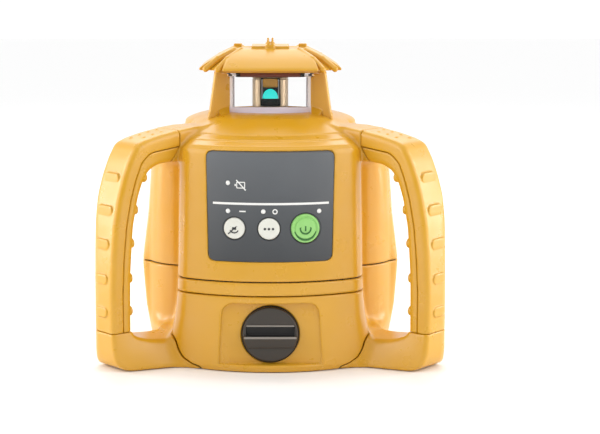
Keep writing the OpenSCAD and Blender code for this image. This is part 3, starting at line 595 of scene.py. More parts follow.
def seal_distance(x, y, z):
    """Cord between the two housings, just inside their outer faces."""
    body = body_distance(x, y, z)
    return soft_max(np.abs(body + 1.7) - 0.7, np.abs(z - SEAM_Z - 0.2) - 0.45, 0.4)


COVER_HALF = [(64, 50), (64, 20.6), (60.5, 18.7), (57.9, 16.2), (56.0, 10.6), (53.4, 6.3), (47.6, 3.0),
              (42, 1.4), (40, -8)]
COVER = Outline([(-x, z) for x, z in COVER_HALF] + COVER_HALF[::-1], cut=1.8)
COVER_TOP, COVER_BACK = 46.8, 70.0
BAY_HALF, BAY_REAR, BAY_LOW, BAY_TOP = 54.0, 19.5, 3.2, 46.0
FOOT = Outline([
    (40, 2.5), (84, 2.5), (90, 0.3), (124, 0.3), (130, 3.2), (132.8, 10.5), (133, 23.3), (133, 45),
    (118.8, 45), (118.8, 25), (117, 20.4), (108, 17.5), (92, 16), (40, 16)], cut=4)
FOOT_TOP = 23.3
FOOT_FLARE, FLARE_SLOPE = 4.6, 0.36
INSERT_R, BOSS_R, BOSS_TOP = 11.0, 17.5, 24.0


PLATE_R, PLATE_FRONT_R, PLATE_FRONT_HALF = 76.3, 92.5, 59.4


def beyond_plate(x, y):
    """Distance outside the base plate's outline."""
    r = hypot(x, y)
    return minimum(r - PLATE_R, all_of(r - PLATE_FRONT_R, np.abs(x) - PLATE_FRONT_HALF, y))


def lower_housing_distance(x, y, z):
    r = hypot(x, y)
    body = body_distance(x, y, z)
    along, side = in_handle(x, y)
    flare = (FOOT_FLARE + FLARE_SLOPE * (125 - along)) * np.clip((FOOT_TOP - z) / FOOT_TOP, 0, 1)
    foot = soft_max(FOOT(along, z), np.abs(side) - HANDLE_HALF - np.where(side < 0, flare, 0) * 0.9, 3)
    foot = soft_max(maximum(foot, 45 - along), np.abs(x) - HALF_WIDTH, 3)
    foot = soft_max(foot, z - FOOT_TOP, 0.5)
    outside = soft_min(body, foot, 7)
    hollow = all_of(body + WALL, minimum(maximum(-BAY_REAR + 2 - y, 5 - z), BAY_TOP + 2 - z))
    hollow = maximum(hollow, -maximum(r - BOSS_R, z - BOSS_TOP))
    solid = maximum(outside, -hollow)
    solid = soft_max(solid, z - SEAM_Z + 0.1, 1.1)
    solid = maximum(solid, minimum(BASE_T - z, SEAM_GAP - beyond_plate(x, y)))
    solid = maximum(solid, 0.3 - z)
    bay = all_of(np.abs(x) - BAY_HALF, y + BAY_REAR, -COVER_BACK - 0.5 - y, BAY_LOW - z, z - BAY_TOP)
    front = soft_max(all_of(COVER(x, z) - 0.15, y + COVER_BACK), z - COVER_TOP - 0.2, 0.6)
    solid = soft_max(solid, -minimum(bay, front), 0.6)
    return maximum(solid, -maximum(r - INSERT_R - 0.05, z - 20.6))


RECESS_BOTTOM = 4.8
HOLLOW_HALF, HOLLOW_FRONT, HOLLOW_LOW, HOLLOW_TOP = 53, 86.4, 5.3, 44
RECESS = Outline([(-31, -10), (31, -10), (31, 5), (28.7, 42.2), (-28.7, 42.2), (-31, 5)], cut=7.5)


def battery_cover_distance(x, y, z):
    r = hypot(x, y)
    body = body_distance(x, y, z)
    solid = soft_max(body, COVER(x, z) + 0.35, 0.9)
    solid = soft_max(solid, z - (COVER_TOP - SEAM_GAP - 0.2), 1.1)
    over_plate = minimum(BASE_T + SEAM_GAP - z, SEAM_GAP - beyond_plate(x, y))
    solid = all_of(solid, over_plate, y + COVER_BACK + SEAM_GAP)
    inner = all_of(FRONT(r, z) + WALL, np.abs(x) - HOLLOW_HALF, -HOLLOW_FRONT - y, HOLLOW_LOW - z,
                   z - HOLLOW_TOP)
    solid = maximum(solid, -inner)
    solid = soft_max(solid, -all_of(RECESS(x, z), y + RECESS_Y, RECESS_BOTTOM - z), 1.4)
    turn = hypot(x, z - KNOB_Z)
    groove = maximum(np.abs(turn - KNOB_R - 0.2) - 0.5, y + RECESS_Y - 1.4)
    return all_of(solid, -groove, 4.1 - turn)


# ---- Handle grips ------------------------------------------------------------

GRIP_BACK = [(82.4, 143), (96, 140.8), (107, 138.2), (113.6, 135.5), (118.6, 127.1), (122.9, 117.1),
             (126.7, 104.9), (129.8, 89.8), (131.8, 69.4), (133, 49), (133, 23.6)]
GRIP_PARTING = [(125.2, 23.6), (125.2, 49), (124, 68.8), (121.9, 88), (118.7, 103), (114.9, 115),
                (110.5, 125), (104, 130.4), (82.4, 133)]
GRIP_FRONT = [(82.4, 124.1), (97.2, 123), (104.2, 119.8), (108.6, 113.9), (112.4, 103.8),
              (116.1, 86.5), (118.4, 57.7), (118.8, 30), (118.8, 23.6)]
RIB_HEIGHTS = [36, 56, 77, 97, 116]
GRIP = Outline([(70, 145)] + GRIP_BACK + [(133, 8), (118.8, 8)] + GRIP_FRONT[::-1] + [(70, 124.6)], cut=3)
GRIP_OUTSIDE = Outline([(60, 160), (150, 160), (150, 10), (125.2, 10)] + GRIP_PARTING + [(60, 133)], cut=3)
GRIP_CORE = 3.0
PAD_R, PAD_RISE, PAD_HALF, INNER_PAD_HALF = 3.1, 0.85, 4.2, 9.2
DOTS, DOT_START, DOT_STEP, DOT_SIDE = 7, 86.5, 3.2, 4.6
SEAM_HALF = 0.2


def edge_at(line, z):
    radii, heights = zip(*sorted(line, key=lambda p: p[1]))
    return float(np.interp(z, heights, radii))


def grip_distance(x, y, z, line, inward):
    """Whole handle loop with its row of raised pads on one face."""
    along, side = in_handle(x, y)
    grip = soft_max(GRIP(along, z), np.abs(side) - HANDLE_HALF, 4)
    for height in RIB_HEIGHTS:
        beyond = maximum(np.abs(side) - (INNER_PAD_HALF if inward else PAD_HALF), 0)
        pill = hypot(z - height, beyond) - PAD_R
        rise = (along - edge_at(line, height)) * (-1 if inward else 1)
        pad = soft_max(pill, np.abs(rise + 2) - PAD_RISE - 2, 0.8)
        grip = soft_min(grip, pad, 0.15)
    grip = soft_max(grip, np.abs(x) - HALF_WIDTH, 3)
    hollow = maximum(GRIP(along, z), np.abs(side) - HANDLE_HALF) + GRIP_CORE
    hollow = all_of(hollow, 27 - z, 93 - along)
    grip = maximum(grip, -hollow)
    grip = soft_max(grip, 23.65 - z, 0.5)
    return soft_max(grip, arm_end(z) + 0.35 - along, 0.5)


def outer_grip_distance(x, y, z):
    along, side = in_handle(x, y)
    whole = grip_distance(x, y, z, GRIP_BACK, False)
    for number in range(DOTS):
        at, aside = DOT_START + DOT_STEP * number, DOT_SIDE * (-1) ** number
        top = float(np.interp(at, *zip(*GRIP_BACK[:3])))
        dot = np.sqrt((along - at) ** 2 + (side - aside) ** 2 + (z - top + 0.9) ** 2) - 1.5
        whole = soft_min(whole, dot, 0.2)
    return soft_max(whole, GRIP_OUTSIDE(along, z) + SEAM_HALF, 0.7)


def inner_grip_distance(x, y, z):
    along, _ = in_handle(x, y)
    whole = grip_distance(x, y, z, GRIP_FRONT, True)
    return soft_max(whole, SEAM_HALF - GRIP_OUTSIDE(along, z), 0.7)


# ---- Roof and lantern --------------------------------------------------------

def turned(x, y, quarter):
    """Coordinates turned by quarter turns about the spin axis."""
    for _ in range(quarter):
        x, y = y, -x
    return x, y


PANEL_W, SLAB_W = 60.0, 52.0
ROOF_PANEL = hull_planes(
    box_points((-PANEL_W / 2, -EAVE_HALF, EAVE_Z), (PANEL_W / 2, -EAVE_HALF + 2, EAVE_Z + 1.5))
    + box_points((-28.5, -38, 182.3), (28.5, -37, 183.5))
    + box_points((-26, -31.5, 186), (26, -30.5, 187.2))
    + box_points((-20, -30, EAVE_Z), (20, -28, EAVE_Z + 1))
    + box_points((-20, -23, ROOF_Z - 1.2), (20, -19, ROOF_Z - 0.4)))
ROOF_CORE = hull_planes(
    box_points((-SLAB_W / 2, -EAVE_HALF + 1.6, EAVE_Z), (SLAB_W / 2, EAVE_HALF - 1.6, EAVE_Z + 1.2))
    + box_points((-EAVE_HALF + 1.6, -SLAB_W / 2, EAVE_Z), (EAVE_HALF - 1.6, SLAB_W / 2, EAVE_Z + 1.2))
    + box_points((-21, -21, ROOF_Z - 2), (21, 21, ROOF_Z - 1)))
ROOF_HOLLOW = hull_planes(
    box_points((-27.5, -27.5, UNDER_Z - 3), (27.5, 27.5, UNDER_Z + 1.5))
    + box_points((-18, -18, ROOF_Z - 5), (18, 18, ROOF_Z - 3.5)))
CORNER_RIBS = [((40.2, 32.4, 178.3), (32.6, 26.6, 184.3)), ((32.6, 26.6, 184.3), (22.4, 18.4, 189.4))]


def segment_distance(x, y, z, a, b):
    a, b = np.array(a, float), np.array(b, float)
    d = b - a
    t = np.clip(((x - a[0]) * d[0] + (y - a[1]) * d[1] + (z - a[2]) * d[2]) / (d @ d), 0, 1)
    return np.sqrt((x - a[0] - d[0] * t) ** 2 + (y - a[1] - d[1] * t) ** 2 + (z - a[2] - d[2] * t) ** 2)


def roof_distance(x, y, z):
    roof = hull_distance(ROOF_CORE, x, y, z, 3.5)
    plug = box_distance(x, y, z, (-30.5, -30.5, UNDER_Z), (30.5, 30.5, UNDER_Z + 4))
    roof = minimum(roof, plug)
    for quarter in range(4):
        u, v = turned(x, y, quarter)
        roof = soft_min(roof, hull_distance(ROOF_PANEL, u, v, z, 2.6), 0.4)
    across, deep = np.abs(x), np.abs(y)
    low, high = minimum(across, deep), maximum(across, deep)
    for a, b in CORNER_RIBS:
        roof = soft_min(roof, segment_distance(high, low, z, a, b) - 1.9, 0.4)
    plate = box_distance(x, y, z, (-11.8, -21.8, ROOF_Z - 2), (11.8, 21.8, ROOF_Z + 1.0), 0.4)
    roof = soft_min(roof, plate, 0.3)
    lean = 1.0 + 0.07 * (z - ROOF_Z)
    ear = box_distance(across - lean, deep, z, (-0.5, 20.0, ROOF_Z - 1.5), (0.8, 23.0, SIGHT_Z - 1.0), 0.7)
    foot = box_distance(across, deep, z, (-1.0, 19.7, ROOF_Z - 1.5), (3.0, 23.3, ROOF_Z + 2.2), 1.4)
    side_ear = box_distance(across, deep, z, (18.1, -2.7, ROOF_Z - 1.5), (23.3, 2.7, ROOF_Z + 2), 0.7)
    roof = soft_min(roof, minimum(ear, side_ear), 0.6)
    roof = soft_min(roof, foot, 0.8)
    return maximum(roof, -hull_distance(ROOF_HOLLOW, x, y, z, 6.0))


FIN = Outline([
    (37, FLOOR_Z), (37, 149.2), (42, 148.4), (54.2, 145.6), (54.4, 150), (53, 152.4), (48.2, 177.1),
    (43.8, 177.1), (43.8, 175.4), (38.9, 175.4), (38.9, 173.4), (36, 173.4), (36, FLOOR_Z)],
    cut=0.5, step=0.25)
FIN_HALF = 1.2
FIN_CHAMFER, BAND_Z = 4.6, 154.2
POST_LOW, POST_HIGH = 23.6, 27.0


def lantern_distance(x, y, z):
    r = hypot(x, y)
    across, deep = np.abs(x), np.abs(y)
    disc = soft_max(r - 35.8, soft_max(FLOOR_Z - 3.1 - z, z - FLOOR_Z, 0.6), 0.6)
    out, side = (across + deep) * math.sqrt(0.5), (across - deep) * math.sqrt(0.5)
    fin = soft_max(FIN(out, z), np.abs(side) - FIN_HALF, 0.7)
    post = box_distance(across, deep, z, (POST_LOW, POST_LOW, FLOOR_Z - 1),
                        (POST_HIGH, POST_HIGH, CEILING_Z), 0.6)
    ground = REAR(r, z)
    slant = (fin + ground - FIN_CHAMFER) * math.sqrt(0.5)
    foot = all_of(slant, -ground - 0.6, 36.5 - out, out - 47, 25.5 - minimum(across, deep), 140 - z)
    band = box_distance(x, y, z, (-25.4, -27.45, FLOOR_Z - 0.2), (25.4, -26.75, BAND_Z), 0.3)
    solid = minimum(minimum(disc, post), minimum(minimum(fin, foot), band))
    rim = np.abs(r - 31) - 0.35
    solid = maximum(solid, -all_of(rim, FLOOR_Z - 0.5 - z, z - FLOOR_Z - 0.1))
    return maximum(solid, 18 - r)


def ceiling_distance(x, y, z):
    """Plate under the roof, with cut corners and a step round its edge."""
    low, high = minimum(np.abs(x), np.abs(y)), maximum(np.abs(x), np.abs(y))
    plate = soft_max(high - 27.4, (high + low - 46.6) * math.sqrt(0.5), 0.8)
    lower = soft_max(plate + 0.9, 172.9 - z, 0.5)
    upper = soft_max(plate, 174.5 - z, 0.4)
    return maximum(minimum(lower, upper), z - UNDER_Z + 0.1)


# Where the ceiling's cut corners and their pale edge start.
CUT_CORNER, CUT_SIDE, PALE_SIDE = 44.6, 18.6, 21.5


def paint_ceiling(thing):
    """Black cut corners that end in a pale edge."""
    for face in thing.data.polygons:
        across, deep = sorted((abs(face.center.x) / MM, abs(face.center.y) / MM))
        corner = across + deep > CUT_CORNER and across > CUT_SIDE
        face.material_index = 0 if not corner else 2 if across > PALE_SIDE else 1


def paint_lantern(thing):
    """Other materials for the floor with its band, and for the posts between the panes."""
    for face in thing.data.polygons:
        x, y, z = (c / MM for c in face.center)
        across, deep = abs(x), abs(y)
        low_disc = z < FLOOR_Z + 0.3 and math.hypot(x, y) < 36.4
        band = 26.6 < -y < 27.6 and across < 25.6 and z < BAND_Z + 0.1
        post = across < 27.1 and deep < 27.1 and z < CEILING_Z + 0.1
        face.material_index = 1 if low_disc or band else 2 if post else 0


# ---- Knob and rotor ----------------------------------------------------------

LIP_UP, SLOT_LOW, BAR_UP, BAR_LOW = 5.4, -0.6, -0.6, -7.8


def knob_distance(x, y, z):
    """Disc with a finger slot across it and a wedge-shaped bar below the slot."""
    out, up = -y, z - KNOB_Z
    turn = hypot(x, up)
    disc = soft_max(turn - KNOB_R + 0.2, soft_max(out - 91.7, RECESS_Y + 0.3 - out, 0.6), 1.0)
    lip = box_distance(x, out, up, (-14.2, 90.5, LIP_UP - 0.5), (14.2, 92.5, LIP_UP + 0.5), 0.5)
    disc = soft_min(disc, lip, 0.4)
    slot = box_distance(x, out, up, (-14.6, 90.1, SLOT_LOW), (14.6, 99, LIP_UP - 0.5), 0.5)
    disc = soft_max(disc, -slot, 0.3)
    slope = (out - 95.4 + (BAR_UP - up) * 0.3) * 0.958
    bar = soft_max(slope, np.abs(up - (BAR_UP + BAR_LOW) / 2) - (BAR_UP - BAR_LOW) / 2, 0.6)
    bar = soft_max(bar, soft_max(turn - KNOB_R + 1.0, RECESS_Y + 0.3 - out, 0.4), 0.8)
    return soft_min(disc, bar, 0.8)


def paint_knob(thing):
    """Painted shade in the slot, which gets the black material, and painted highlights as lighter lines on
    the lip and on the bar's edge.
    """
    for face in thing.data.polygons:
        x, out, up = face.center.x / MM, -face.center.y / MM, face.center.z / MM - KNOB_Z
        # Painted highlight lines on the lip and bar edge; painted shade in the slot.
        line = out > 91.9 and abs(up - LIP_UP) < 0.7 or out > 94.6 and abs(up - BAR_UP + 0.5) < 0.6
        slot = SLOT_LOW - 0.3 < up < LIP_UP - 0.3 and abs(x) < 14.5 and out < 94.9
        face.material_index = 2 if line else 1 if slot else 0


def rotor_distance(x, y, z):
    r = hypot(x, y)
    head = soft_max(r - ROTOR_R, soft_max(ROTOR_LOW - z, z - ROTOR_HIGH, 0.8), 1.0)
    slot = box_distance(x, y, z, (-6.2, -20, ROTOR_LOW + 3), (6.2, 20, ROTOR_HIGH - 0.6), 0.8)
    waist = maximum(np.abs(z - ROTOR_HIGH + 1.4) - 0.3, 10.9 - r)
    lower = maximum(np.abs(z - ROTOR_LOW - 2.4) - 0.35, 10.9 - r)
    head = soft_max(head, -slot, 0.7)
    return all_of(head, -waist, -lower, -maximum(r - 5.5, z - 155))


# ---- Lathed and stroked small parts ------------------------------------------

def from_bmesh(name, bm, material, sharp=None):
    """Object of a finished bmesh; edges sharper than an angle in degrees stay sharp."""
    mesh = bpy.data.meshes.new(name)
    bm.to_mesh(mesh)
    bm.free()
    if sharp:
        mesh.set_sharp_from_angle(angle=math.radians(sharp))
    return as_object(name, mesh, material)


def lathe(name, profile, material, segments=64):
    """Turned piece about its own Z; the profile runs from the axis round to the axis."""
    bm = bmesh.new()
    rings = []
    for radius, height in profile:
        if radius < 1e-6:
            rings.append([bm.verts.new((0, 0, height * MM))])
            continue
        ring = []
        for i in range(segments):
            turn = 2 * math.pi * i / segments
            point = (radius * math.cos(turn), radius * math.sin(turn), height)
            ring.append(bm.verts.new([c * MM for c in point]))
        rings.append(ring)
    for low, high in zip(rings, rings[1:]):
        for i in range(segments):
            j = (i + 1) % segments
            corners = [low[i % len(low)], low[j % len(low)], high[j % len(high)], high[i % len(high)]]
            face = bm.faces.new(list(dict.fromkeys(corners)))
            face.smooth = True
    bmesh.ops.recalc_face_normals(bm, faces=bm.faces)
    return from_bmesh(name, bm, material, 40)


def on_front(thing, at_x, at_z, radius):
    """Stands a turned piece on the front face, its axis along the radius."""
    turn = math.asin(at_x / front_at(at_z))
    outward = Vector((math.sin(turn), -math.cos(turn), 0))
    across = Vector((math.cos(turn), math.sin(turn), 0))
    matrix = Matrix((across, Vector((0, 0, 1)), outward)).transposed()
    place = Matrix.Translation(outward * radius * MM + Vector((0, 0, at_z * MM))) @ matrix.to_4x4()
    thing.data.transform(place)
    thing.data.update()


KEY_DEPTH = 4.0
KEY_FACE = 0.1


# Sections of the keys' caps from the edge inwards: distance in from the key's radius, and height.
KEY_SIDE = [(0.2, -KEY_DEPTH), (0.02, -KEY_DEPTH + 0.3), (0.02, -0.7)]
KEY_TOP = KEY_SIDE + [(0.25, -0.25), (0.7, -0.04), (1.3, 0.0), (2.0, -0.12)]
POWER_TOP = KEY_SIDE + [(0.3, -0.2), (0.9, 0.0), (1.5, -0.3), (1.7, -0.6), (2.3, -0.6), (2.6, -0.15),
                        (3.1, 0.0)]


def key_profile(radius, top, middle):
    """Whole section of a cap; middle holds the points near its axis."""
    return [(0, -KEY_DEPTH)] + [(radius - inward, high) for inward, high in top] + middle


# Longest straight piece of a stroke, so that strokes follow the curved front.
STROKE_PIECE = 2.5


class Marks:
    """Thin printing that follows the curved front, lifted from it; a negative lift is below it."""

    def __init__(self, name, material, lift, thick=0.1):
        self.name, self.material, self.lift, self.thick = name, material, lift, thick
        self.bm = bmesh.new()

    def place(self, x, z, height):
        radius = front_at(z) + height
        return (x * MM, -math.sqrt(radius * radius - x * x) * MM, z * MM)

    def patch(self, corners):
        top = [self.bm.verts.new(self.place(x, z, self.lift + self.thick)) for x, z in corners]
        low = [self.bm.verts.new(self.place(x, z, self.lift)) for x, z in corners]
        self.bm.faces.new(top)
        self.bm.faces.new(low[::-1])
        for i in range(len(corners)):
            j = (i + 1) % len(corners)
            self.bm.faces.new((top[i], low[i], low[j], top[j]))

    def stroke(self, start, end, width):
        (ax, az), (bx, bz) = start, end
        length = math.hypot(bx - ax, bz - az)
        nx, nz = -(bz - az) / length * width / 2, (bx - ax) / length * width / 2
        pieces = max(1, int(length / STROKE_PIECE))
        for i in range(pieces):
            s, t = i / pieces, (i + 1) / pieces
            px, pz, qx, qz = ax + (bx - ax) * s, az + (bz - az) * s, ax + (bx - ax) * t, az + (bz - az) * t
            self.patch([(px - nx, pz - nz), (qx - nx, qz - nz), (qx + nx, qz + nz), (px + nx, pz + nz)])

    def path(self, points, width, closed=False):
        ends = points + points[:1] if closed else points
        for a, b in zip(ends, ends[1:]):
            self.stroke(a, b, width)

    def ring(self, x, z, inner, outer, start=0.0, end=360.0, steps=40):
        for i in range(steps):
            a = math.radians(start + (end - start) * i / steps)
            b = math.radians(start + (end - start) * (i + 1) / steps)
            self.patch([(x + inner * math.cos(a), z + inner * math.sin(a)),
                        (x + outer * math.cos(a), z + outer * math.sin(a)),
                        (x + outer * math.cos(b), z + outer * math.sin(b)),
                        (x + inner * math.cos(b), z + inner * math.sin(b))])

    def done(self, body):
        bmesh.ops.remove_doubles(self.bm, verts=self.bm.verts, dist=1e-7)
        bmesh.ops.recalc_face_normals(self.bm, faces=self.bm.faces)
        ride(from_bmesh(self.name, self.bm, self.material), body)


# ---- Pieces ------------------------------------------------------------------

def make_housings(kinds):
    yellow = kinds["yellow"]
    upper = sculpt("upper_shell", upper_housing_distance, (-86, -98, 53), (86, 86, 151), 0.85, yellow, 190000)
    ride(upper, "housing", "upper_housing")
    lower = sculpt("lower_shell", lower_housing_distance, (-109, -101, -2), (109, 86, 57), 1.0, yellow,
                   190000)
    ride(lower, "housing", "lower_housing")
    seal = sculpt("seam_seal", seal_distance, (-86, -98, 52), (86, 86, 58), 0.8, kinds["rubber"], 60000)
    ride(seal, "housing", "housing_seal")
    cover = sculpt("battery_door", battery_cover_distance, (-65, -98, -1), (65, -68, 49), 0.6, yellow, 160000)
    ride(cover, "battery_holder", "battery_cover")


def make_grips(kinds):
    low, high = (51, -103, 21), (109, -38, 146)
    for label, shape in (("outer", outer_grip_distance), ("inner", inner_grip_distance)):
        right, left = sculpt("grip_" + label, shape, low, high, 0.7, kinds["yellow"], 110000, mirror=True)
        ride(right, "housing", "right_grip_" + label)
        ride(left, "housing", "left_grip_" + label)


def make_lantern(kinds):
    roof = sculpt("roof", roof_distance, (-47, -47, 173), (47, 47, 199), 0.6, kinds["yellow"], 150000)
    ride(roof, "housing", "top_cap")
    lantern = sculpt("lantern_fins", lantern_distance, (-45, -45, 134), (45, 45, 179), 0.5,
                     [kinds["yellow"], kinds["lilac"], kinds["pale"]], 170000)
    paint_lantern(lantern)
    ride(lantern, "housing", "lantern_frame")
    ceiling = sculpt("ceiling_panel", ceiling_distance, (-30, -30, 171), (30, 30, 177), 0.5,
                     [kinds["maroon"], kinds["black"], kinds["pale"]], 60000)
    paint_ceiling(ceiling)
    ride(ceiling, "housing", "ceiling_plate")


def block_piece(name, low, high, bevel, material):
    """Block with rounded edges and a shallow panel line round its front."""
    bm = bmesh.new()
    bmesh.ops.create_cube(bm, size=1)
    for vert in bm.verts:
        vert.co = Vector([(low[i] + (vert.co[i] + 0.5) * (high[i] - low[i])) * MM for i in range(3)])
    front = [face for face in bm.faces if face.normal.y < -0.5]
    bmesh.ops.inset_individual(bm, faces=front, thickness=0.8 * MM, depth=0)
    for face in front:
        for vert in face.verts:
            vert.co.y += 0.25 * MM
    bmesh.ops.bevel(bm, geom=bm.edges[:], offset=bevel * MM, segments=2, affect="EDGES")
    return from_bmesh(name, bm, material)


def half_lens(name, material):
    """Half-round window with a domed face and a flat lower edge."""
    radius, low, back, front, dome, stretch = 5.0, 158.2, 6.5, 8.1, 0.9, 1.22
    bm = bmesh.new()
    steps, rings = 28, 5
    rows = []
    for ring in range(rings + 1):
        share = ring / rings
        row = []
        for i in range(steps + 1):
            turn = math.pi * i / steps
            x, z = radius * share * math.cos(turn), radius * share * math.sin(turn) * stretch
            row.append(bm.verts.new((x * MM, -(front - dome * share ** 4) * MM, (low + z) * MM)))
        rows.append(row)
    for a, b in zip(rows, rows[1:]):
        for i in range(steps):
            face = bm.faces.new((a[i], a[i + 1], b[i + 1], b[i]))
            face.smooth = True
    bmesh.ops.remove_doubles(bm, verts=bm.verts, dist=1e-7)
    edges = [edge for edge in bm.edges if edge.is_boundary]
    made = bmesh.ops.extrude_edge_only(bm, edges=edges)
    for item in made["geom"]:
        if isinstance(item, bmesh.types.BMVert):
            item.co.y = -back * MM
    bmesh.ops.contextual_create(bm, geom=[edge for edge in bm.edges if edge.is_boundary])
    bmesh.ops.recalc_face_normals(bm, faces=bm.faces)
    return from_bmesh(name, bm, material, 35)


LENS_EDGE_X = 5.3


def make_rotor(kinds):
    head = sculpt("rotor_columns", rotor_distance, (-13, -13, 149), (13, 13, 173), 0.35,
                  kinds["rotor"], 90000, reach=0.15)
    ride(head, "rotor", "rotor_head")
    lens = half_lens("rotor_lens", kinds["teal"])
    ride(lens, "rotor", "rotor_window")
    prism = block_piece("prism_block", (-4.8, -6.4, 165.2), (4.8, 6.6, 170.8), 0.4, kinds["gold"])
    ride(prism, "rotor", "prism")
    holder = block_piece("prism_holder", (-6.15, -5.4, 153.3), (6.15, 6.4, 171.2), 0.3, kinds["black"])
    ride(holder, "rotor")
    for side in (-1, 1):
        middle = side * LENS_EDGE_X
        edge = block_piece("lens_edge_" + ("left" if side < 0 else "right"),
                           (middle - 0.3, -7.2, 158.0), (middle + 0.3, -5.6, 170.4), 0.12, kinds["pale"])
        ride(edge, "rotor")


# Section of the black ring round the knob, painted shade in the gap between knob and cover: beyond the knob's
# radius, and above the recess.
RIM_PROFILE = [(-0.1, 0), (0.55, 0), (0.55, 0.5), (0.35, 0.8), (0.1, 0.8), (-0.1, 0.5), (-0.1, 0)]


def make_knob(kinds):
    # The knob's slot is painted black as shade, and its lip and bar edge get lighter charcoal as painted
    # highlights.
    knob = sculpt("lock_turner", knob_distance, (-18, -97, 4), (18, -88, 41), 0.35,
                  [kinds["knob"], kinds["black"], kinds["knob_painted_highlight"]], 120000, reach=0.2)
    paint_knob(knob)
    ride(knob, "knob", "lock_knob")
    # A black ring stands in the gap round the knob as painted shade.
    profile = [(KNOB_R + wide, high) for wide, high in RIM_PROFILE]
    rim = lathe("knob_shade_ring", profile, kinds["black"], 96)
    place = Matrix.Translation((0, -RECESS_Y * MM, KNOB_Z * MM))
    rim.data.transform(place @ Matrix.Rotation(math.radians(90), 4, "X"))
    ride(rim, "battery_holder")


def make_keys(kinds):
    for label, (x, radius) in KEYS.items():
        if label == "power":
            profile, kind = key_profile(radius, POWER_TOP, [(3.6, -0.1), (0, -0.12)]), "green"
        else:
            profile, kind = key_profile(radius, KEY_TOP, [(radius * 0.4, -0.22), (0, -0.25)]), "key"
        key = lathe(label + "_key_cap", profile, kinds[kind])
        on_front(key, x, KEY_Z, front_at(KEY_Z) + KEY_FACE)
        ride(key, label + "_key", label + "_button")
    for number, (x, z) in enumerate(LAMPS):
        lamp = lathe("lamp_%d" % (number + 1), [(0, -3), (LAMP_R, -3), (LAMP_R, -0.4), (LAMP_R - 0.2, -0.12),
                                               (0.9, 0.1), (0, 0.16)], kinds["lamp"], 32)
        on_front(lamp, x, z, front_at(z) - PANEL_FACE)
        ride(lamp, "housing", *(["indicator_lenses"] if number == 0 else []))


def make_marks(kinds):
    panel = Marks("panel_marks", kinds["white_print"], -PANEL_FACE - 0.02)
    panel.stroke((-34.2, 101.6), (34.9, 101.6), 1.3)
    left, right, low, high, line = -19.9, -15.2, 110.9, 114.3, 0.55
    panel.path([(left, low), (right, low), (right, high), (left, high)], line, closed=True)
    panel.stroke((left - 0.9, 112.0), (left - 0.9, 113.2), 0.8)
    panel.stroke((-20.2, 115.6), (-14.6, 109.6), 0.7)
    panel.stroke((-18.4, 97.1), (-14.6, 97.1), 0.8)
    panel.ring(2.8, 97.1, 0.9, 1.6, steps=20)
    panel.done("housing")
    gaps = Marks("key_gaps", kinds["dark_print"], -PANEL_FACE - 0.04, 0.06)
    for x, radius in KEYS.values():
        gaps.ring(x, KEY_Z, radius + 0.32, radius + 0.75, steps=56)
    gaps.done("housing")
    mode = Marks("mode_icon", kinds["dark_print"], KEY_FACE - 0.26, 0.16)
    x = KEYS["mode"][0]
    mode.ring(x, KEY_Z, 2.3, 2.9, 25, 155, 14)
    mode.ring(x, KEY_Z, 2.3, 2.9, 205, 335, 14)
    mode.stroke((x - 3.6, KEY_Z - 3.4), (x + 3.6, KEY_Z + 3.4), 0.6)
    mode.stroke((x - 1.2, KEY_Z), (x + 1.2, KEY_Z), 1.5)
    mode.done("mode_key")
    manual = Marks("manual_icon", kinds["dark_print"], KEY_FACE - 0.26, 0.16)
    x = KEYS["manual"][0]
    for shift in (-2.4, 0, 2.4):
        manual.ring(x + shift, KEY_Z, 0.0, 0.75, steps=16)
    manual.done("manual_key")
    power = Marks("power_icon", kinds["dark_green"], KEY_FACE - 0.13, 0.14)
    x, radius = KEYS["power"]
    power.ring(x, KEY_Z, 2.7, 3.6, steps=36)
    power.stroke((x, KEY_Z - 1.5), (x, KEY_Z + 1.5), 0.9)
    power.done("power_key")
    ring = Marks("power_ring", kinds["dark_green"], KEY_FACE - 0.62, 0.1)
    ring.ring(x, KEY_Z, radius - 2.5, radius - 1.45, steps=56)
    ring.done("power_key")


# ---- Camera, light and floor -------------------------------------------------

CAMERA_BACK, CAMERA_HIGH = 1.0095, 0.2291
FOCAL_PX = 1568.3
AXIS_U = 270.3
TILT = 8.367


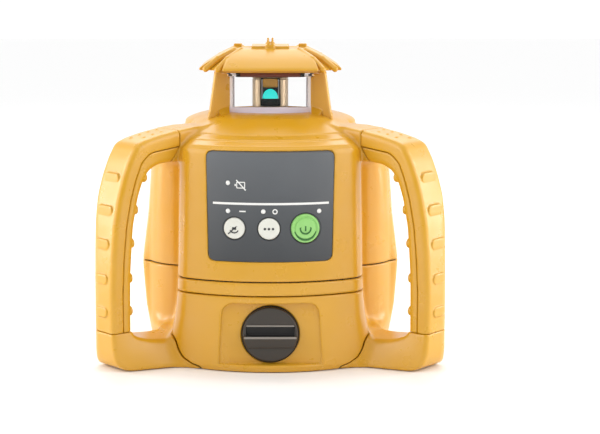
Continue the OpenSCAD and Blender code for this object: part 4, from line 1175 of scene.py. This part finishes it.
def make_camera():
    data = bpy.data.cameras.new("camera")
    data.sensor_width = 36
    data.lens = FOCAL_PX / PHOTO_W * 36
    data.shift_x = (PHOTO_W / 2 - AXIS_U) / PHOTO_W
    data.clip_start = 0.05
    camera = bpy.data.objects.new("camera", data)
    camera.location = (0, -CAMERA_BACK, CAMERA_HIGH)
    camera.rotation_euler = (math.radians(90 - TILT), 0, 0)
    link(camera)
    bpy.context.scene.camera = camera


def area_light(name, place, aim, size, power, tall=None):
    data = bpy.data.lights.new(name, "AREA")
    data.energy = power
    data.shape = "RECTANGLE"
    data.size = size
    data.size_y = tall or size
    light = bpy.data.objects.new(name, data)
    light.location = place
    light.rotation_euler = (Vector(aim) - Vector(place)).to_track_quat("-Z", "Y").to_euler()
    link(light)


# Where, from front to back, the surroundings go from dim to bright, and how bright they are.
DIM_SPAN, DIM_LEVELS = (-0.95, -0.55), (0.3, 1.08)


def dim_front(tree, strength):
    """White surroundings that are dimmer on the side of the object's front."""
    place = tree.nodes.new("ShaderNodeTexCoord").outputs["Generated"]
    tree.links.new(map_range(tree, split_part(tree, place, "Y"), *DIM_SPAN, *DIM_LEVELS), strength)


def make_studio():
    scene = bpy.context.scene
    scene.view_settings.view_transform = "Standard"
    world = bpy.data.worlds.new("studio")
    world.use_nodes = True
    background = world.node_tree.nodes["Background"]
    background.inputs["Color"].default_value = (1, 1, 1, 1)
    dim_front(world.node_tree, background.inputs["Strength"])
    scene.world = world
    middle = (0, 0, 0.09)
    for side, label in ((-1, "left"), (1, "right")):
        area_light(label + "_box", (side * 0.98, -0.42, 0.5), middle, 0.6, 3.1, 0.8)
        area_light(label + "_strip", (side * 1.08, 0.14, 0.36), middle, 0.2, 4.0, 0.7)
    area_light("back_box", (0, 0.9, 1.1), middle, 1.0, 6)
    floor_material = surface_material("floor", (0.95, 0.95, 0.95, 1), 0.6, grain=3, depth=0.01, mottle=0.0)
    bpy.ops.mesh.primitive_plane_add(size=12)
    floor = bpy.context.object
    floor.name = "floor"
    floor.data.materials.append(floor_material)


def main():
    kinds = make_materials()
    dress_cad_nodes(kinds)
    make_camera()
    make_studio()
    make_housings(kinds)
    make_grips(kinds)
    make_lantern(kinds)
    make_rotor(kinds)
    make_knob(kinds)
    make_keys(kinds)
    make_marks(kinds)


main()
